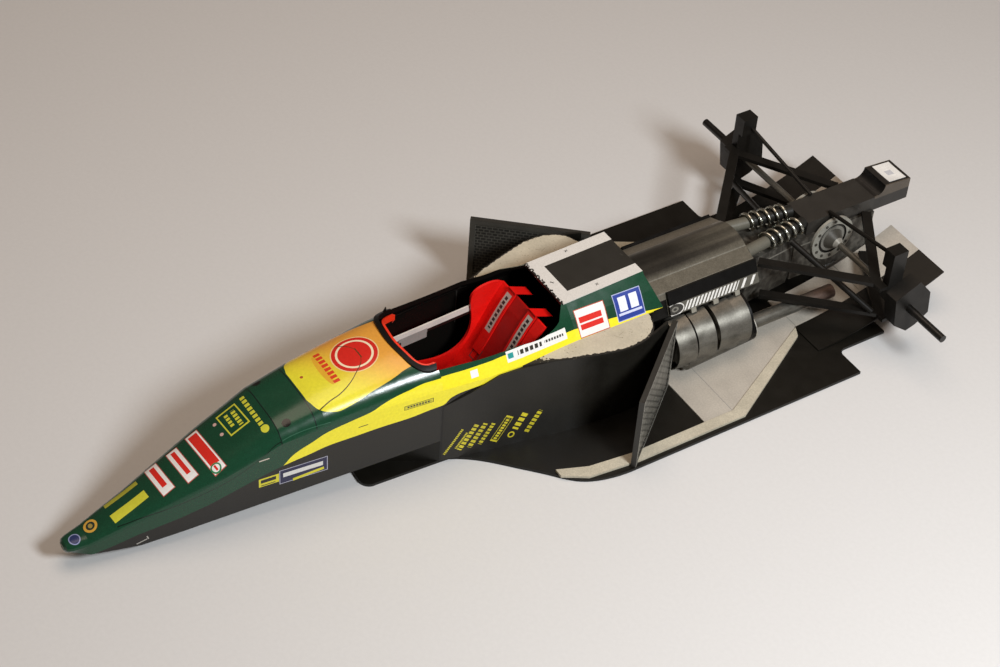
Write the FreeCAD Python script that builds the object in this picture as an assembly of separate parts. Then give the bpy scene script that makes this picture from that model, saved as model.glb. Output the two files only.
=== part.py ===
"""Part-built card model of an open wheel racing car, 1:24, lying on its floor plate.

Frame: millimetres, +Z up, the nose points along -Y and the car's left side is +X.
The origin is under the middle of the model, on the surface that the floor plate lies on.
Stations along the car are given as their distance s behind the nose tip.
"""
import FreeCAD, Part
import math
import os

V = FreeCAD.Vector

# Card and clearances
card = 0.5
thin_card = 0.3
seat_gap = 0.02
running_gap = 0.05
overrun = 1.0
half_share = 0.5
quarter_turn_share = math.sqrt(half_share)

# Lengths that follow one another from the nose tip to the tail
nose_length = 38.0
cowl_length = 30.0
cockpit_length = 44.8
engine_length = 26.2
bellhousing_length = 13.0
gearbox_length = 19.8
crash_box_length = 8.9
side_seam_s = nose_length + cowl_length
tub_end_s = side_seam_s + cockpit_length
engine_end_s = tub_end_s + engine_length
bellhousing_end_s = engine_end_s + bellhousing_length
crash_box_front_s = bellhousing_end_s + gearbox_length
overall_length = crash_box_front_s + crash_box_length
rear_axle_setback = 9.2
rear_axle_s = bellhousing_end_s + rear_axle_setback

# Nose and front tub
belly_break_s = 12.6
nose_tip_half_width = 1.9
nose_tip_low_z = 3.2
nose_tip_top_z = 5.6
nose_tip_round = 1.2
nose_belly_z = 1.6
tub_belly_z = 5.7
nose_belly_half_width = 4.0
tub_half_width = 10.5
nose_crease_z = 17.0
nose_crease_half_width = 7.5
seam_top_z = 19.6
cowl_crease_z = 18.2
cowl_top_z = 23.9
shoulder_x_share = 0.84
shoulder_z_share = 0.62
footwell_lead = 13.0

# Rounded nose tip as shares: of the round's length and of the tip's half-sizes
nose_tip_shares = ((0.0, 0.45), (0.3, 0.8), (1.0, 1.0))
# Nose sections as shares: station, crease half-width, crease height and top height
nose_section_shares = ((0.105, 0.335, 0.279, 0.31), (0.21, 0.424, 0.348, 0.388),
                       (0.332, 0.513, 0.429, 0.474), (0.526, 0.692, 0.574, 0.63),
                       (0.737, 0.867, 0.765, 0.79), (0.895, 0.947, 0.897, 0.918),
                       (1.0, 1.0, 1.0, 1.0))
# Front tub sections as shares: station, crease half-width, crease height and top height
front_tub_shares = ((0.0, 0.714, 0.934, 0.82), (0.267, 0.79, 0.984, 0.895),
                    (0.6, 0.881, 0.997, 0.962), (0.8, 0.938, 1.0, 0.992), (1.0, 1.0, 1.0, 1.0))

# Cockpit tub and rear deck
waist_half_width = 11.0
waist_z = 18.1
flank_lean = 2.1
rim_half_width = 9.5
rim_z = 21.3
deck_half_width = 6.3
deck_front_z = 23.53
deck_rear_z = 24.2
deck_length = 17.6
deck_front_s = tub_end_s - deck_length
opening_lead = 5.5
opening_front_s = side_seam_s - opening_lead
opening_half_width = 9.8
opening_rear_lead = 1.8
opening_rear_s = deck_front_s - opening_rear_lead
deck_notch_half_width = 6.0

# Edge of the cockpit opening as shares of its length and half-width; the first rows are the cowl's
opening_front_shares = ((0.0, 0.0), (0.013, 0.40), (0.05, 0.735), (0.165, 0.893))
opening_side_shares = ((0.24, 0.915), (0.435, 0.965), (0.63, 0.995), (0.79, 1.005), (0.92, 0.963),
                       (1.0, 0.85))

# Cockpit tub sections as shares: station, waist x and z, rim x and z, deck x and z;
# the last one lies behind the bulkhead
tub_section_shares = ((0.0, 0.955, 1.006, 0.937, 1.019, 0.714, 0.99),
                      (0.18, 1.027, 1.0, 0.998, 0.995, 0.79, 0.985),
                      (0.357, 1.064, 1.0, 1.035, 0.995, 0.89, 0.975),
                      (0.536, 1.01, 1.0, 0.985, 0.995, 0.95, 0.967),
                      (0.625, 0.995, 1.0, 0.895, 0.995, 0.96, 0.973),
                      (1.0, 1.0, 1.0, 0.926, 1.0, 1.0, 1.0),
                      (1.07, 1.0, 1.0, 0.926, 1.0, 1.0, 1.0))

# Floor plate
floor_thickness = 0.6
floor_half_width = 29.2
floor_lead = 15.0
floor_start_s = side_seam_s - floor_lead
splitter_half_width = 10.5
splitter_front_half_width = 7.9
splitter_corner_half_width = 9.7
splitter_corner_length = 2.4
splitter_rake = 0.5
floor_flare_lead = 2.0
floor_flare_length = 27.5
floor_flare_s = side_seam_s + floor_flare_lead
floor_flare_end_s = floor_flare_s + floor_flare_length
notch_half_width = 22.4
notch_round = 1.6
notch_lead = 10.5
notch_s = rear_axle_s - notch_lead
floor_tail = 1.0
floor_end_s = rear_axle_s + floor_tail

# Floor edge from splitter to full width as shares along and across the flare
floor_curve_shares = ((0.0, 0.0), (0.215, 0.222), (0.345, 0.417), (0.495, 0.645),
                      (0.645, 0.865), (0.84, 0.975), (1.0, 1.0))

# Keel under the front tub
keel_lead = 10.5

# Tank walls and the glue flanges on them
tank_wall_half_width = 16.2
tank_wall_top_z = waist_z - thin_card
tank_wall_length = 47.0
tank_wall_start_z = 14.1
tank_rise_length = 11.0
flange_start_s = side_seam_s + tank_rise_length

# Tank wall as shares: station, foot half-width and top half-width
tank_wall_shares = ((0.0, 0.648, 0.648), (0.17, 0.752, 0.715), (0.36, 0.846, 0.765),
                    (0.51, 0.93, 0.86), (0.70, 0.99, 0.98), (0.80, 1.0, 1.02),
                    (0.90, 0.965, 0.968), (0.97, 0.90, 0.90))
# Outer edge of the flange as shares of its length and of the wall's half-width
flange_shares = ((0.0, 0.70), (0.26, 0.787), (0.36, 0.858), (0.50, 0.951), (0.585, 1.0),
                 (0.665, 1.037), (0.735, 1.05), (0.80, 1.043), (0.86, 1.01), (0.91, 0.945),
                 (0.94, 0.852), (0.955, 0.765), (0.96, 0.66))

# Radiators
radiator_outer_x = 29.2
radiator_outer_lead = 30.2
radiator_outer_s = side_seam_s + radiator_outer_lead
radiator_inner_x = 14.4
radiator_run_s = 17.8
radiator_inner_s = radiator_outer_s + radiator_run_s
radiator_height = 16.3
radiator_thickness = 1.0
radiator_frame = 1.1
radiator_core_step = 0.25

# Engine
engine_fold_half_width = 4.2
engine_fold_z = 18.1
engine_facet_half_width = 6.9
engine_facet_z = 17.0
engine_head_half_width = 9.0
engine_head_z = 12.8
engine_block_half_width = 5.6
engine_waist_z = 8.0
engine_top_z = 19.4
cam_cover_setback = 5.6
cam_cover_start_s = tub_end_s + cam_cover_setback
cam_cover_thickness = 0.7
port_tab_count = 3
port_tab_width = 1.2
port_tab_drop = 0.9
port_tab_setback = 4.6
port_tab_pitch = 5.1

# Exhausts
pipe_count = 4
pipe_radius = 1.85
pipe_setback = 7.6
pipe_pitch = 4.5
pipe_bend_radius = 3.0
pipe_bend_folds = 5
collector_front_radius = 2.1
collector_rear_radius = 2.7
collector_length = 16.8
collector_front_x = 12.6
collector_rear_x = 10.9
collector_z = 3.7
collector_sides = 16
collector_nose_share = 0.5
collector_front_s = tub_end_s + pipe_setback
collector_rear_s = collector_front_s + collector_length
mouth_depth = 2.4
tail_pipe_radius = 1.4
tail_pipe_wall = 0.3
tail_pipe_length = 22.4
tail_pipe_lift = 0.6

# Covers and glue strips on the floor
cover_thickness = 0.3
cover_front_s = radiator_inner_s
cover_outer_x = 26.1
cover_straight_length = 6.4
cover_taper_length = 24.6
cover_bend_s = cover_front_s + cover_straight_length
cover_rear_s = cover_bend_s + cover_taper_length
cover_rear_x = 13.5
cover_inner_x = 6.2
strip_thickness = 0.5
strip_width = 2.2
strip_lead = 17.0
strip_start_s = side_seam_s + strip_lead
strip_start_x = 22.9
# Strip corners as shares of its width: along the car and outward from the cover's line
strip_lead_share = 0.8
strip_bend_share = 2.6
strip_corner_share = 0.6

# Tunnel roofs and diffuser
ramp_length = 29.8
ramp_end_z = 8.4
ramp_middle_share = 0.3
ramp_outer_x = 20.8
ramp_split_x = 13.2
ramp_inner_x = 4.6
ramp_start_s = cover_rear_s + seat_gap

# Gearbox and rear crash box
bellhousing_half_width = 5.8
bellhousing_top_z = 13.7
bellhousing_low_z = 2.6
bellhousing_edge_share = 0.8
gearbox_half_width = 4.0
gearbox_low_z = 4.0
top_box_half_width = 3.4
top_box_setback = 3.0
top_box_start_s = bellhousing_end_s + top_box_setback
top_box_z = 16.8
crash_box_half_width = 3.3
crash_box_top_z = 18.8
crash_box_low_z = 13.4
crash_box_rake = 2.4
crash_box_hollow = 0.5

# Dampers and springs
damper_radius = 1.2
damper_setback = 0.6
damper_front_s = engine_end_s + damper_setback
damper_rear_s = top_box_start_s
damper_front_x = 3.9
damper_rear_x = 2.0
damper_z = 16.0
coil_radius = 1.68
coil_wire_radius = 0.42
coil_wire_sides = 6
coil_count = 5
coil_setback = 5.6
coil_lead = 1.2

# Rear suspension
axle_z = 11.4
output_disc_radius = 5.0
output_disc_thickness = 0.6
output_disc_x = gearbox_half_width + seat_gap
output_groove_radius = 3.4
output_groove_width = 0.5
output_groove_depth = 0.25
cone_length = 2.4
cone_radius = 2.3
driveshaft_radius = 0.65
upright_inner_x = 24.8
upright_outer_x = 28.0
upright_length = 9.4
upright_height = 11.9
upright_setback = 0.75
stub_axle_radius = 0.78
journal_radius = 0.5
stub_axle_tip_x = 37.8
stub_axle_root = 0.6
arm_chord = 1.9
arm_thickness = 0.8
upper_arm_z = 15.2
upper_arm_foot_setback = 2.0
upper_arm_rear_reach = 7.8
upper_arm_inner_x = 6.3
upper_arm_rear_x = 4.6
arm_tip_gap = 2.3
upper_arm_tip_lead = 4.6
lower_arm_z = 6.4
lower_arm_foot_setback = 3.0
lower_arm_rear_reach = 6.8
lower_arm_inner_x = 7.0
lower_arm_tip_lead = 2.0
pushrod_radius = 0.6
pushrod_top_x = 4.6
pushrod_top_lead = 10.8
pushrod_top_z = 14.8
toe_link_radius = 0.4
toe_link_inner_x = 3.0
toe_link_inner_lead = 0.6
toe_link_lead = 1.2
toe_link_z = 20.9
duct_half_length = 1.7
duct_width = 1.6
duct_lead = 1.9
duct_foot_z = 12.4
duct_top_z = 23.4
duct_hood_width = 1.1
duct_hood_height = 3.9

# Upright outline as shares of its length and height from its middle
upright_shares = ((-0.5, 0.28), (0.08, 0.5), (0.43, 0.18), (0.5, -0.27),
                  (0.2, -0.44), (-0.03, -0.5), (-0.4, -0.27))

# Cockpit furniture
seat_half_width = 7.2
seat_setback = 3.0
seat_length = 20.6
seat_front_s = side_seam_s + seat_setback
seat_back_s = seat_front_s + seat_length
seat_base_z = 3.2
seat_back_z = 20.2
seat_crest_z = 21.4
left_wing_top_z = 17.2
seat_facets = 12
riser_half_width = 3.0
riser_setback = 1.0
riser_length = 7.0
belt_width = 2.3
belt_thickness = 0.25
belt_offset = 3.4
belt_tail_length = 3.2
belt_tail_drop = 1.4
trim_width = 0.9
trim_height = 0.7
liner_setback = 1.5
liner_width = 0.4
liner_top = 0.6
liner_depth = 1.9
flap_lead = 0.5
flap_length = 3.6
flap_height = 2.1
linkage_x = seat_half_width + seat_gap
linkage_height = 1.9
linkage_front_z = 14.1
linkage_rear_z = 15.4
linkage_front_s = side_seam_s - overrun
linkage_length = 21.0
linkage_plate_length = 5.4
linkage_plate_height = 1.3
linkage_plate_setback = 3.0

# Seat pan and back as shares of the seat's length and of the height of its back
seat_line_shares = ((0.0, 0.0), (0.42, 0.03), (0.65, 0.32), (1.0, 1.0))
# Edge of the seat's side wing as shares of the seat's length and of its crest height
wing_edge_shares = ((0.97, 0.96), (0.80, 1.0), (0.66, 0.94), (0.65, 0.78), (0.66, 0.63),
                    (0.6, 0.45), (0.46, 0.36), (0.22, 0.36), (0.0, 0.41))


def at(x, s, z):
    """Point at station s behind the nose tip."""
    return V(x, s - overall_length / 2, z)


def polygon(points):
    """Closed wire through the points."""
    return Part.makePolygon(list(points) + [points[0]])


def loft(wires):
    """Solid through closed wires, straight from one to the next."""
    return Part.makeLoft(wires, True, True)


def prism(points, direction):
    """Solid swept from the closed outline along direction."""
    return Part.Face(polygon(points)).extrude(direction)


def mirrored(shape):
    """The same shape on the car's other side."""
    return shape.mirror(V(0, 0, 0), V(1, 0, 0))


def both_sides(shape):
    """The shape's solids and their mirror images as separate solids."""
    return Part.makeCompound(shape.Solids + mirrored(shape).Solids)


def largest(shape):
    """The largest solid of a cut shape."""
    return max(shape.Solids, key=lambda solid: solid.Volume)


def chain(points):
    """Straight edges from each point to the next."""
    return [Part.makeLine(points[i], points[i + 1]) for i in range(len(points) - 1)]


def spline(points):
    """Smooth edge through the points."""
    curve = Part.BSplineCurve()
    curve.interpolate(points)
    return curve.toShape()


def closed_wire(edges):
    """Closed wire from edges in any order."""
    return Part.Wire(Part.__sortEdges__(edges))


def between(low, high, share):
    """Value at a share of the way from low to high."""
    return low + (high - low) * share


def rod(start, end, radius):
    """Round rod between two points."""
    return Part.makeCylinder(radius, (end - start).Length, start, end - start)


def blade(start, end, chord, thickness):
    """Flat strut between two points, its chord level and square to its run."""
    run = end - start
    across = V(run.y, -run.x, 0).normalize() * (chord / 2)
    up = V(0, 0, thickness)
    corners = [start - across, start + across, start + across + up, start - across + up]
    return prism(corners, run)


def hull_wire(s, belly_x, belly_z, crease_x, crease_z, top_z):
    """Section of the nose and front tub: flat belly, plain sides and a domed top skin."""
    shoulder_z = between(crease_z, top_z, shoulder_z_share)
    dome = spline([at(crease_x, s, crease_z), at(crease_x * shoulder_x_share, s, shoulder_z),
                   at(0, s, top_z), at(-crease_x * shoulder_x_share, s, shoulder_z),
                   at(-crease_x, s, crease_z)])
    return Part.Wire([dome] + chain([at(-crease_x, s, crease_z), at(-belly_x, s, belly_z),
                                     at(belly_x, s, belly_z), at(crease_x, s, crease_z)]))


def belly_at(s):
    """Half-width and height of the belly edge behind the belly break."""
    share = (s - belly_break_s) / (side_seam_s - belly_break_s)
    return (between(nose_belly_half_width, tub_half_width, share),
            between(nose_belly_z, tub_belly_z, share))


def nose_wires():
    """Sections from the nose tip to the nose seam."""
    middle_z = between(nose_tip_low_z, nose_tip_top_z, half_share)
    wires = []
    for along, size in nose_tip_shares:
        wires.append(hull_wire(nose_tip_round * along, nose_tip_half_width * half_share * size,
                               between(middle_z, nose_tip_low_z, size), nose_tip_half_width * size,
                               middle_z, between(middle_z, nose_tip_top_z, size)))
    for s_share, x_share, z_share, top_share in nose_section_shares:
        s = nose_length * s_share
        if s < belly_break_s:
            share = s / belly_break_s
            belly_x = between(nose_tip_half_width, nose_belly_half_width, share)
            belly_z = between(nose_tip_low_z, nose_belly_z, share)
        else:
            belly_x, belly_z = belly_at(s)
        crease_x = nose_crease_half_width * x_share
        wires.append(hull_wire(s, min(belly_x, crease_x), belly_z, crease_x,
                               nose_crease_z * z_share, seam_top_z * top_share))
    return wires


def front_tub_wires(wall):
    """Sections from the nose seam to the side seam, drawn in by a wall for the cavity."""
    wires = []
    for s_share, x_share, z_share, top_share in front_tub_shares:
        s = between(nose_length, side_seam_s, s_share)
        belly_x, belly_z = belly_at(s)
        wires.append(hull_wire(s, belly_x - wall, belly_z + wall, tub_half_width * x_share - wall,
                               cowl_crease_z * z_share, cowl_top_z * top_share - wall))
    return wires


def tub_wires(wall, low_z):
    """Sections from the side seam to the rear of the cockpit tub, drawn in by a wall."""
    wires = []
    for s_share, waist_x, waist_high, rim_x, rim_high, deck_x, deck_z in tub_section_shares:
        s = between(side_seam_s, tub_end_s, s_share)
        half = [(waist_half_width * waist_x - wall, low_z + wall),
                (waist_half_width * waist_x - wall, waist_z * waist_high - wall * half_share),
                (rim_half_width * rim_x - wall, rim_z * rim_high - wall * half_share),
                (deck_half_width * deck_x - wall * half_share, deck_rear_z * deck_z - wall)]
        right = [at(x, s, z) for x, z in half]
        left = [at(-x, s, z) for x, z in reversed(half)]
        wires.append(polygon(right + left))
    return wires


def opening_points(shares):
    """Points on the left edge of the cockpit opening, below the crease."""
    return [at(opening_half_width * across, between(opening_front_s, opening_rear_s, along),
               nose_crease_z - card) for along, across in shares]


def opening_edge():
    """Plan outline of the cockpit opening as a closed wire below the crease."""
    left = opening_points(opening_front_shares + opening_side_shares)
    right = [mirror_point(point) for point in left[1:]]
    notch = at(deck_notch_half_width, deck_front_s, left[0].z)
    back = chain([right[-1], mirror_point(notch), notch, left[-1]])
    return Part.Wire([spline(list(reversed(left)) + right)] + back)


def mirror_point(point):
    """The same point on the car's other side."""
    return V(-point.x, point.y, point.z)


def opening_cut():
    """Space over the cockpit opening."""
    return Part.Face(opening_edge()).extrude(V(0, 0, deck_rear_z))


def nose_cone():
    return loft(nose_wires())


def front_tub():
    """Front tub with the footwell open to the cockpit, cut back under the cowl."""
    closed = Part.makeBox(waist_half_width * 2, side_seam_s - footwell_lead, deck_rear_z * 2,
                          at(-waist_half_width, 0, 0))
    cavity = loft(front_tub_wires(card)).cut(closed)
    return loft(front_tub_wires(0)).cut(cavity).cut(opening_cut())


def cockpit_tub():
    """Tub with its cockpit opening and the seat for the deck."""
    shell = loft(tub_wires(0, floor_thickness))
    bulkhead = Part.makeBox(waist_half_width * 2, card, deck_rear_z * 2,
                            at(-waist_half_width, tub_end_s - card, 0))
    cavity = loft(tub_wires(card, floor_thickness)).cut(bulkhead)
    tub = shell.cut(cavity).cut(opening_cut()).cut(deck_prism(card + seat_gap, overrun))
    return largest(tub.cut(tub_tail_cut()))


def tub_tail_cut():
    """Space behind the tub: square below the waist, and sloping where its side sheets run on."""
    far_s = tub_end_s + flank_lean * 2
    side = [at(0, tub_end_s, 0), at(0, tub_end_s, waist_z), at(0, tub_end_s + flank_lean, waist_z),
            at(0, tub_end_s, deck_rear_z - card - seat_gap), at(0, tub_end_s, deck_rear_z * 2),
            at(0, far_s, deck_rear_z * 2), at(0, far_s, 0)]
    space = prism(side, V(waist_half_width * 2, 0, 0))
    return space.fuse(mirrored(space))


def deck_prism(depth, rise):
    """Sloping slab at the rear deck, from a depth below its top to a rise above it."""
    x = deck_half_width
    side = [at(-x, deck_front_s, deck_front_z - depth), at(-x, tub_end_s, deck_rear_z - depth),
            at(-x, tub_end_s, deck_rear_z + rise), at(-x, deck_front_s, deck_front_z + rise)]
    return prism(side, V(x * 2, 0, 0))


def rear_deck():
    """Flat deck plate behind the cockpit, which carries the engine cover."""
    return deck_prism(card, 0)


def keel_section(s, x):
    """Upright oblong from the floor plate to the tub's belly."""
    top_z = belly_at(s)[1]
    return polygon([at(-x, s, floor_thickness), at(x, s, floor_thickness), at(x, s, top_z),
                    at(-x, s, top_z)])


def keel():
    """Wedge that joins the tub's belly to the splitter."""
    start_s = side_seam_s - keel_lead
    return loft([keel_section(start_s, belly_at(start_s)[0] * half_share),
                 keel_section(side_seam_s, tub_half_width)])


def floor_half():
    """Left half of the floor plate's outline: splitter, flare, wheel notch and tail."""
    nose = at(0, floor_start_s + splitter_rake, 0)
    corner_front = at(splitter_front_half_width, floor_start_s, 0)
    corner_rear = at(splitter_corner_half_width, floor_start_s + splitter_corner_length, 0)
    reach = splitter_corner_half_width - splitter_front_half_width
    corner_middle = at(splitter_front_half_width + reach * quarter_turn_share,
                       floor_start_s + splitter_corner_length * (1 - quarter_turn_share), 0)
    curve = [at(between(splitter_half_width, floor_half_width, across),
                between(floor_flare_s, floor_flare_end_s, along), 0)
             for along, across in floor_curve_shares]
    notch_side = at(notch_half_width, notch_s + notch_round, 0)
    notch_end = at(notch_half_width + notch_round, notch_s, 0)
    notch_middle = at(notch_half_width + notch_round * (1 - quarter_turn_share),
                      notch_s + notch_round * (1 - quarter_turn_share), 0)
    tail = at(0, floor_end_s, 0)
    edges = chain([nose, corner_front])
    edges += [Part.Arc(corner_front, corner_middle, corner_rear).toShape()]
    edges += chain([corner_rear, curve[0]]) + [spline(curve)]
    edges += chain([curve[-1], at(floor_half_width, notch_s, 0), notch_end])
    edges += [Part.Arc(notch_end, notch_middle, notch_side).toShape()]
    edges += chain([notch_side, at(notch_half_width, floor_end_s, 0), tail, nose])
    return Part.Wire(edges)


def floor_plate():
    plate = Part.Face(floor_half()).extrude(V(0, 0, floor_thickness))
    return plate.fuse(mirrored(plate)).removeSplitter()


def tank_wall_wire(column, z):
    """Closed curve of the wall at one height, outer face then inner face."""
    plan = [(row[column] * tank_wall_half_width, side_seam_s + row[0] * tank_wall_length)
            for row in tank_wall_shares]
    outer = [at(x, s, z) for x, s in plan]
    inner = [at(x - card, s, z) for x, s in plan]
    return Part.Wire([spline(outer), Part.makeLine(outer[-1], inner[-1]), spline(inner),
                      Part.makeLine(inner[0], outer[0])])


def tank_wall(tub):
    """Curved side wall of the tank, its top edge rising from the side seam."""
    wall = loft([tank_wall_wire(1, floor_thickness), tank_wall_wire(2, tank_wall_top_z)])
    rise = prism([at(0, side_seam_s - overrun, tank_wall_start_z), at(0, side_seam_s, tank_wall_start_z),
                  at(0, flange_start_s, tank_wall_top_z),
                  at(0, flange_start_s, tank_wall_top_z + overrun),
                  at(0, side_seam_s - overrun, tank_wall_top_z + overrun)],
                 V(tank_wall_half_width + overrun, 0, 0))
    return largest(wall.cut(rise).cut(tub))


def tank_flange(tub):
    """Pale glue flange that stands out level from the tub's waist on the wall's top edge."""
    outer = [at(tank_wall_half_width * across, between(flange_start_s, tub_end_s, along),
                tank_wall_top_z) for along, across in flange_shares]
    inner_x = waist_half_width * half_share
    inner = [at(inner_x, outer[-1].y + overall_length / 2, tank_wall_top_z),
             at(inner_x, flange_start_s, tank_wall_top_z)]
    outline = closed_wire([spline(outer)] + chain([outer[-1]] + inner + [outer[0]]))
    return largest(Part.Face(outline).extrude(V(0, 0, thin_card)).cut(tub))


def radiator():
    """Upright radiator panel with a frame and a sunk core on both faces."""
    foot = at(radiator_outer_x, radiator_outer_s, floor_thickness)
    run = at(radiator_inner_x, radiator_inner_s, floor_thickness) - foot
    inward = V(-run.y, run.x, 0).normalize()
    rise = V(0, 0, radiator_height)
    panel = prism([foot, foot + run, foot + run + rise, foot + rise], inward * radiator_thickness)
    along = V(run.x, run.y, 0).normalize() * radiator_frame
    up = V(0, 0, radiator_frame)
    core = [foot + along + up, foot + run - along + up,
            foot + run - along + rise - up, foot + along + rise - up]
    sink = inward * radiator_core_step
    far_core = [corner + inward * radiator_thickness for corner in core]
    return panel.cut(prism(core, sink)).cut(prism(far_core, -sink))


def engine_half_profile():
    """Left side of the engine's section, from the top fold to the floor."""
    return [(engine_fold_half_width, engine_fold_z), (engine_facet_half_width, engine_facet_z),
            (engine_head_half_width, engine_head_z), (engine_block_half_width, engine_waist_z),
            (engine_block_half_width, floor_thickness)]


def engine_block():
    """Folded engine body with sloping heads and a narrow block."""
    half = engine_half_profile()
    start = tub_end_s + seat_gap
    outline = [at(x, start, z) for x, z in half] + [at(-x, start, z) for x, z in reversed(half)]
    return prism(outline, V(0, engine_end_s - start, 0))


def plenum():
    """Domed cover along the top of the engine."""
    start = tub_end_s + seat_gap
    x = engine_fold_half_width
    dome = Part.Arc(at(x, start, engine_fold_z), at(0, start, engine_top_z),
                    at(-x, start, engine_fold_z)).toShape()
    base = Part.makeLine(at(-x, start, engine_fold_z), at(x, start, engine_fold_z))
    return Part.Face(Part.Wire([dome, base])).extrude(V(0, engine_end_s - start, 0))


def cam_cover():
    """Sloping cover on the left head, with its row of port tabs along the lower edge."""
    top = V(engine_facet_half_width, 0, engine_facet_z)
    low = V(engine_head_half_width, 0, engine_head_z)
    slope = (low - top).normalize()
    out = V(-slope.z, 0, slope.x) * cam_cover_thickness
    cover = sloping_plate(top, low, out, cam_cover_start_s, engine_end_s - cam_cover_start_s)
    for index in range(port_tab_count):
        s = cam_cover_start_s + port_tab_setback + port_tab_pitch * index
        cover = cover.fuse(sloping_plate(low, low + slope * port_tab_drop, out, s, port_tab_width))
    return cover.removeSplitter()


def sloping_plate(top, low, out, s, length):
    """Plate along the head from station s, between two edges of its section."""
    outline = [at(p.x, s, p.z) for p in (top, low, low + out, top + out)]
    return prism(outline, V(0, length, 0))


def collector_x(s):
    """Half-width of the collector's axis at a station."""
    share = (s - collector_front_s) / collector_length
    return between(collector_front_x, collector_rear_x, share)


def header_pipe(index):
    """Pipe from its port out, round a quarter bend of mitred folds and down into the collector."""
    s = collector_front_s + pipe_pitch * index
    x = collector_x(s)
    port_z = engine_head_z - port_tab_drop - pipe_radius
    port = at(engine_block_half_width, s, port_z)
    turns = [math.pi * half_share * fold / pipe_bend_folds for fold in range(pipe_bend_folds + 1)]
    bend = [at(x - pipe_bend_radius * (1 - math.sin(turn)), s,
               port_z - pipe_bend_radius * (1 - math.cos(turn))) for turn in turns]
    path = Part.makePolygon([port] + bend + [at(x, s, collector_z)])
    ring = Part.Wire([Part.makeCircle(pipe_radius, port, V(1, 0, 0))])
    return path.makePipeShell([ring], True, False, 1)


def collector_ring(s, radius):
    """Points round the collector's axis at a station, as folded card makes them."""
    angles = [math.pi * 2 * (side + half_share) / collector_sides for side in range(collector_sides)]
    return [at(collector_x(s) + radius * math.cos(angle), s, collector_z + radius * math.sin(angle))
            for angle in angles]


def frustum(low, high):
    """Solid with flat sides between two parallel rings of as many points."""
    count = len(low)
    faces = [Part.Face(polygon([low[i], low[(i + 1) % count], high[(i + 1) % count], high[i]]))
             for i in range(count)]
    return Part.Solid(Part.Shell(faces + [Part.Face(polygon(low)), Part.Face(polygon(high))]))


def exhaust_manifold():
    """Four header pipes that run into a tapered collector, open at its rear mouth."""
    front_s = collector_front_s
    nose_s = front_s - collector_front_radius * collector_nose_share
    body = frustum(collector_ring(front_s, collector_front_radius),
                   collector_ring(collector_rear_s, collector_rear_radius))
    body = body.fuse(frustum(collector_ring(nose_s, collector_front_radius * collector_nose_share),
                             collector_ring(front_s, collector_front_radius)))
    for index in range(pipe_count):
        body = body.fuse(header_pipe(index))
    mouth_radius = collector_rear_radius - thin_card
    mouth = frustum(collector_ring(collector_rear_s - mouth_depth, mouth_radius),
                    collector_ring(collector_rear_s + overrun, mouth_radius))
    return largest(body.cut(mouth).cut(engine_block()).removeSplitter())


def tail_pipe(manifold):
    """Open pipe that leaves the collector's mouth and runs straight back over the floor."""
    start = at(collector_rear_x, collector_rear_s - mouth_depth + seat_gap,
               collector_z + tail_pipe_lift)
    end = start + V(0, tail_pipe_length, 0)
    bore = rod(end - V(0, tail_pipe_length * half_share, 0), end, tail_pipe_radius - tail_pipe_wall)
    return largest(rod(start, end, tail_pipe_radius).cut(bore).cut(manifold))


def floor_cover(blockers):
    """Pale cover sheet on the floor beside the engine."""
    z = floor_thickness
    outline = [at(cover_inner_x, cover_front_s, z), at(cover_outer_x, cover_front_s, z),
               at(cover_outer_x, cover_bend_s, z), at(cover_rear_x, cover_rear_s, z),
               at(cover_inner_x, cover_rear_s, z)]
    sheet = prism(outline, V(0, 0, cover_thickness))
    return largest(sheet.cut(blockers))


def glue_strip(blockers):
    """Pale glue strip along the floor's edge, broken by the radiator's foot."""
    inner = cover_outer_x + seat_gap
    outer = inner + strip_width
    flare_s = floor_flare_end_s + strip_width
    outline = [(strip_start_x, strip_start_s),
               (strip_start_x + strip_width, strip_start_s + strip_width * strip_bend_share),
               (inner, flare_s), (inner, cover_bend_s), (cover_rear_x + seat_gap, cover_rear_s),
               (cover_rear_x + strip_width, cover_rear_s - strip_width * half_share),
               (outer, cover_bend_s + strip_width * strip_corner_share), (outer, flare_s),
               (strip_start_x + strip_width * 2, strip_start_s + strip_width * 2),
               (strip_start_x + strip_width * strip_lead_share, strip_start_s)]
    strip = prism([at(x, s, floor_thickness) for x, s in outline], V(0, 0, strip_thickness))
    return strip.cut(blockers)


def ramp(inner_x, outer_x):
    """Upswept diffuser sheet between two widths."""
    end_s = ramp_start_s + ramp_length
    rise = [at(inner_x, ramp_start_s, floor_thickness),
            at(inner_x, between(ramp_start_s, end_s, half_share),
               between(floor_thickness, ramp_end_z, ramp_middle_share)),
            at(inner_x, end_s, ramp_end_z)]
    up = V(0, 0, cover_thickness)
    low = Part.Arc(*rise).toShape()
    high = Part.Arc(*[p + up for p in rise]).toShape()
    ends = chain([rise[0], rise[0] + up]) + chain([rise[-1], rise[-1] + up])
    return Part.Face(closed_wire([low, high] + ends)).extrude(V(outer_x - inner_x, 0, 0))


def bellhousing_section(s, x):
    """Six-sided section of the bellhousing."""
    edge_x = x * bellhousing_edge_share
    middle_z = between(bellhousing_low_z, bellhousing_top_z, half_share)
    return polygon([at(-edge_x, s, bellhousing_low_z), at(edge_x, s, bellhousing_low_z),
                    at(x, s, middle_z), at(edge_x, s, bellhousing_top_z),
                    at(-edge_x, s, bellhousing_top_z), at(-x, s, middle_z)])


def bellhousing():
    """Tapered housing behind the engine."""
    return loft([bellhousing_section(engine_end_s + seat_gap, bellhousing_half_width),
                 bellhousing_section(bellhousing_end_s, gearbox_half_width)])


def gearbox():
    start = bellhousing_end_s + seat_gap
    return Part.makeBox(gearbox_half_width * 2, crash_box_front_s - start,
                        bellhousing_top_z - gearbox_low_z, at(-gearbox_half_width, start, gearbox_low_z))


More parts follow.
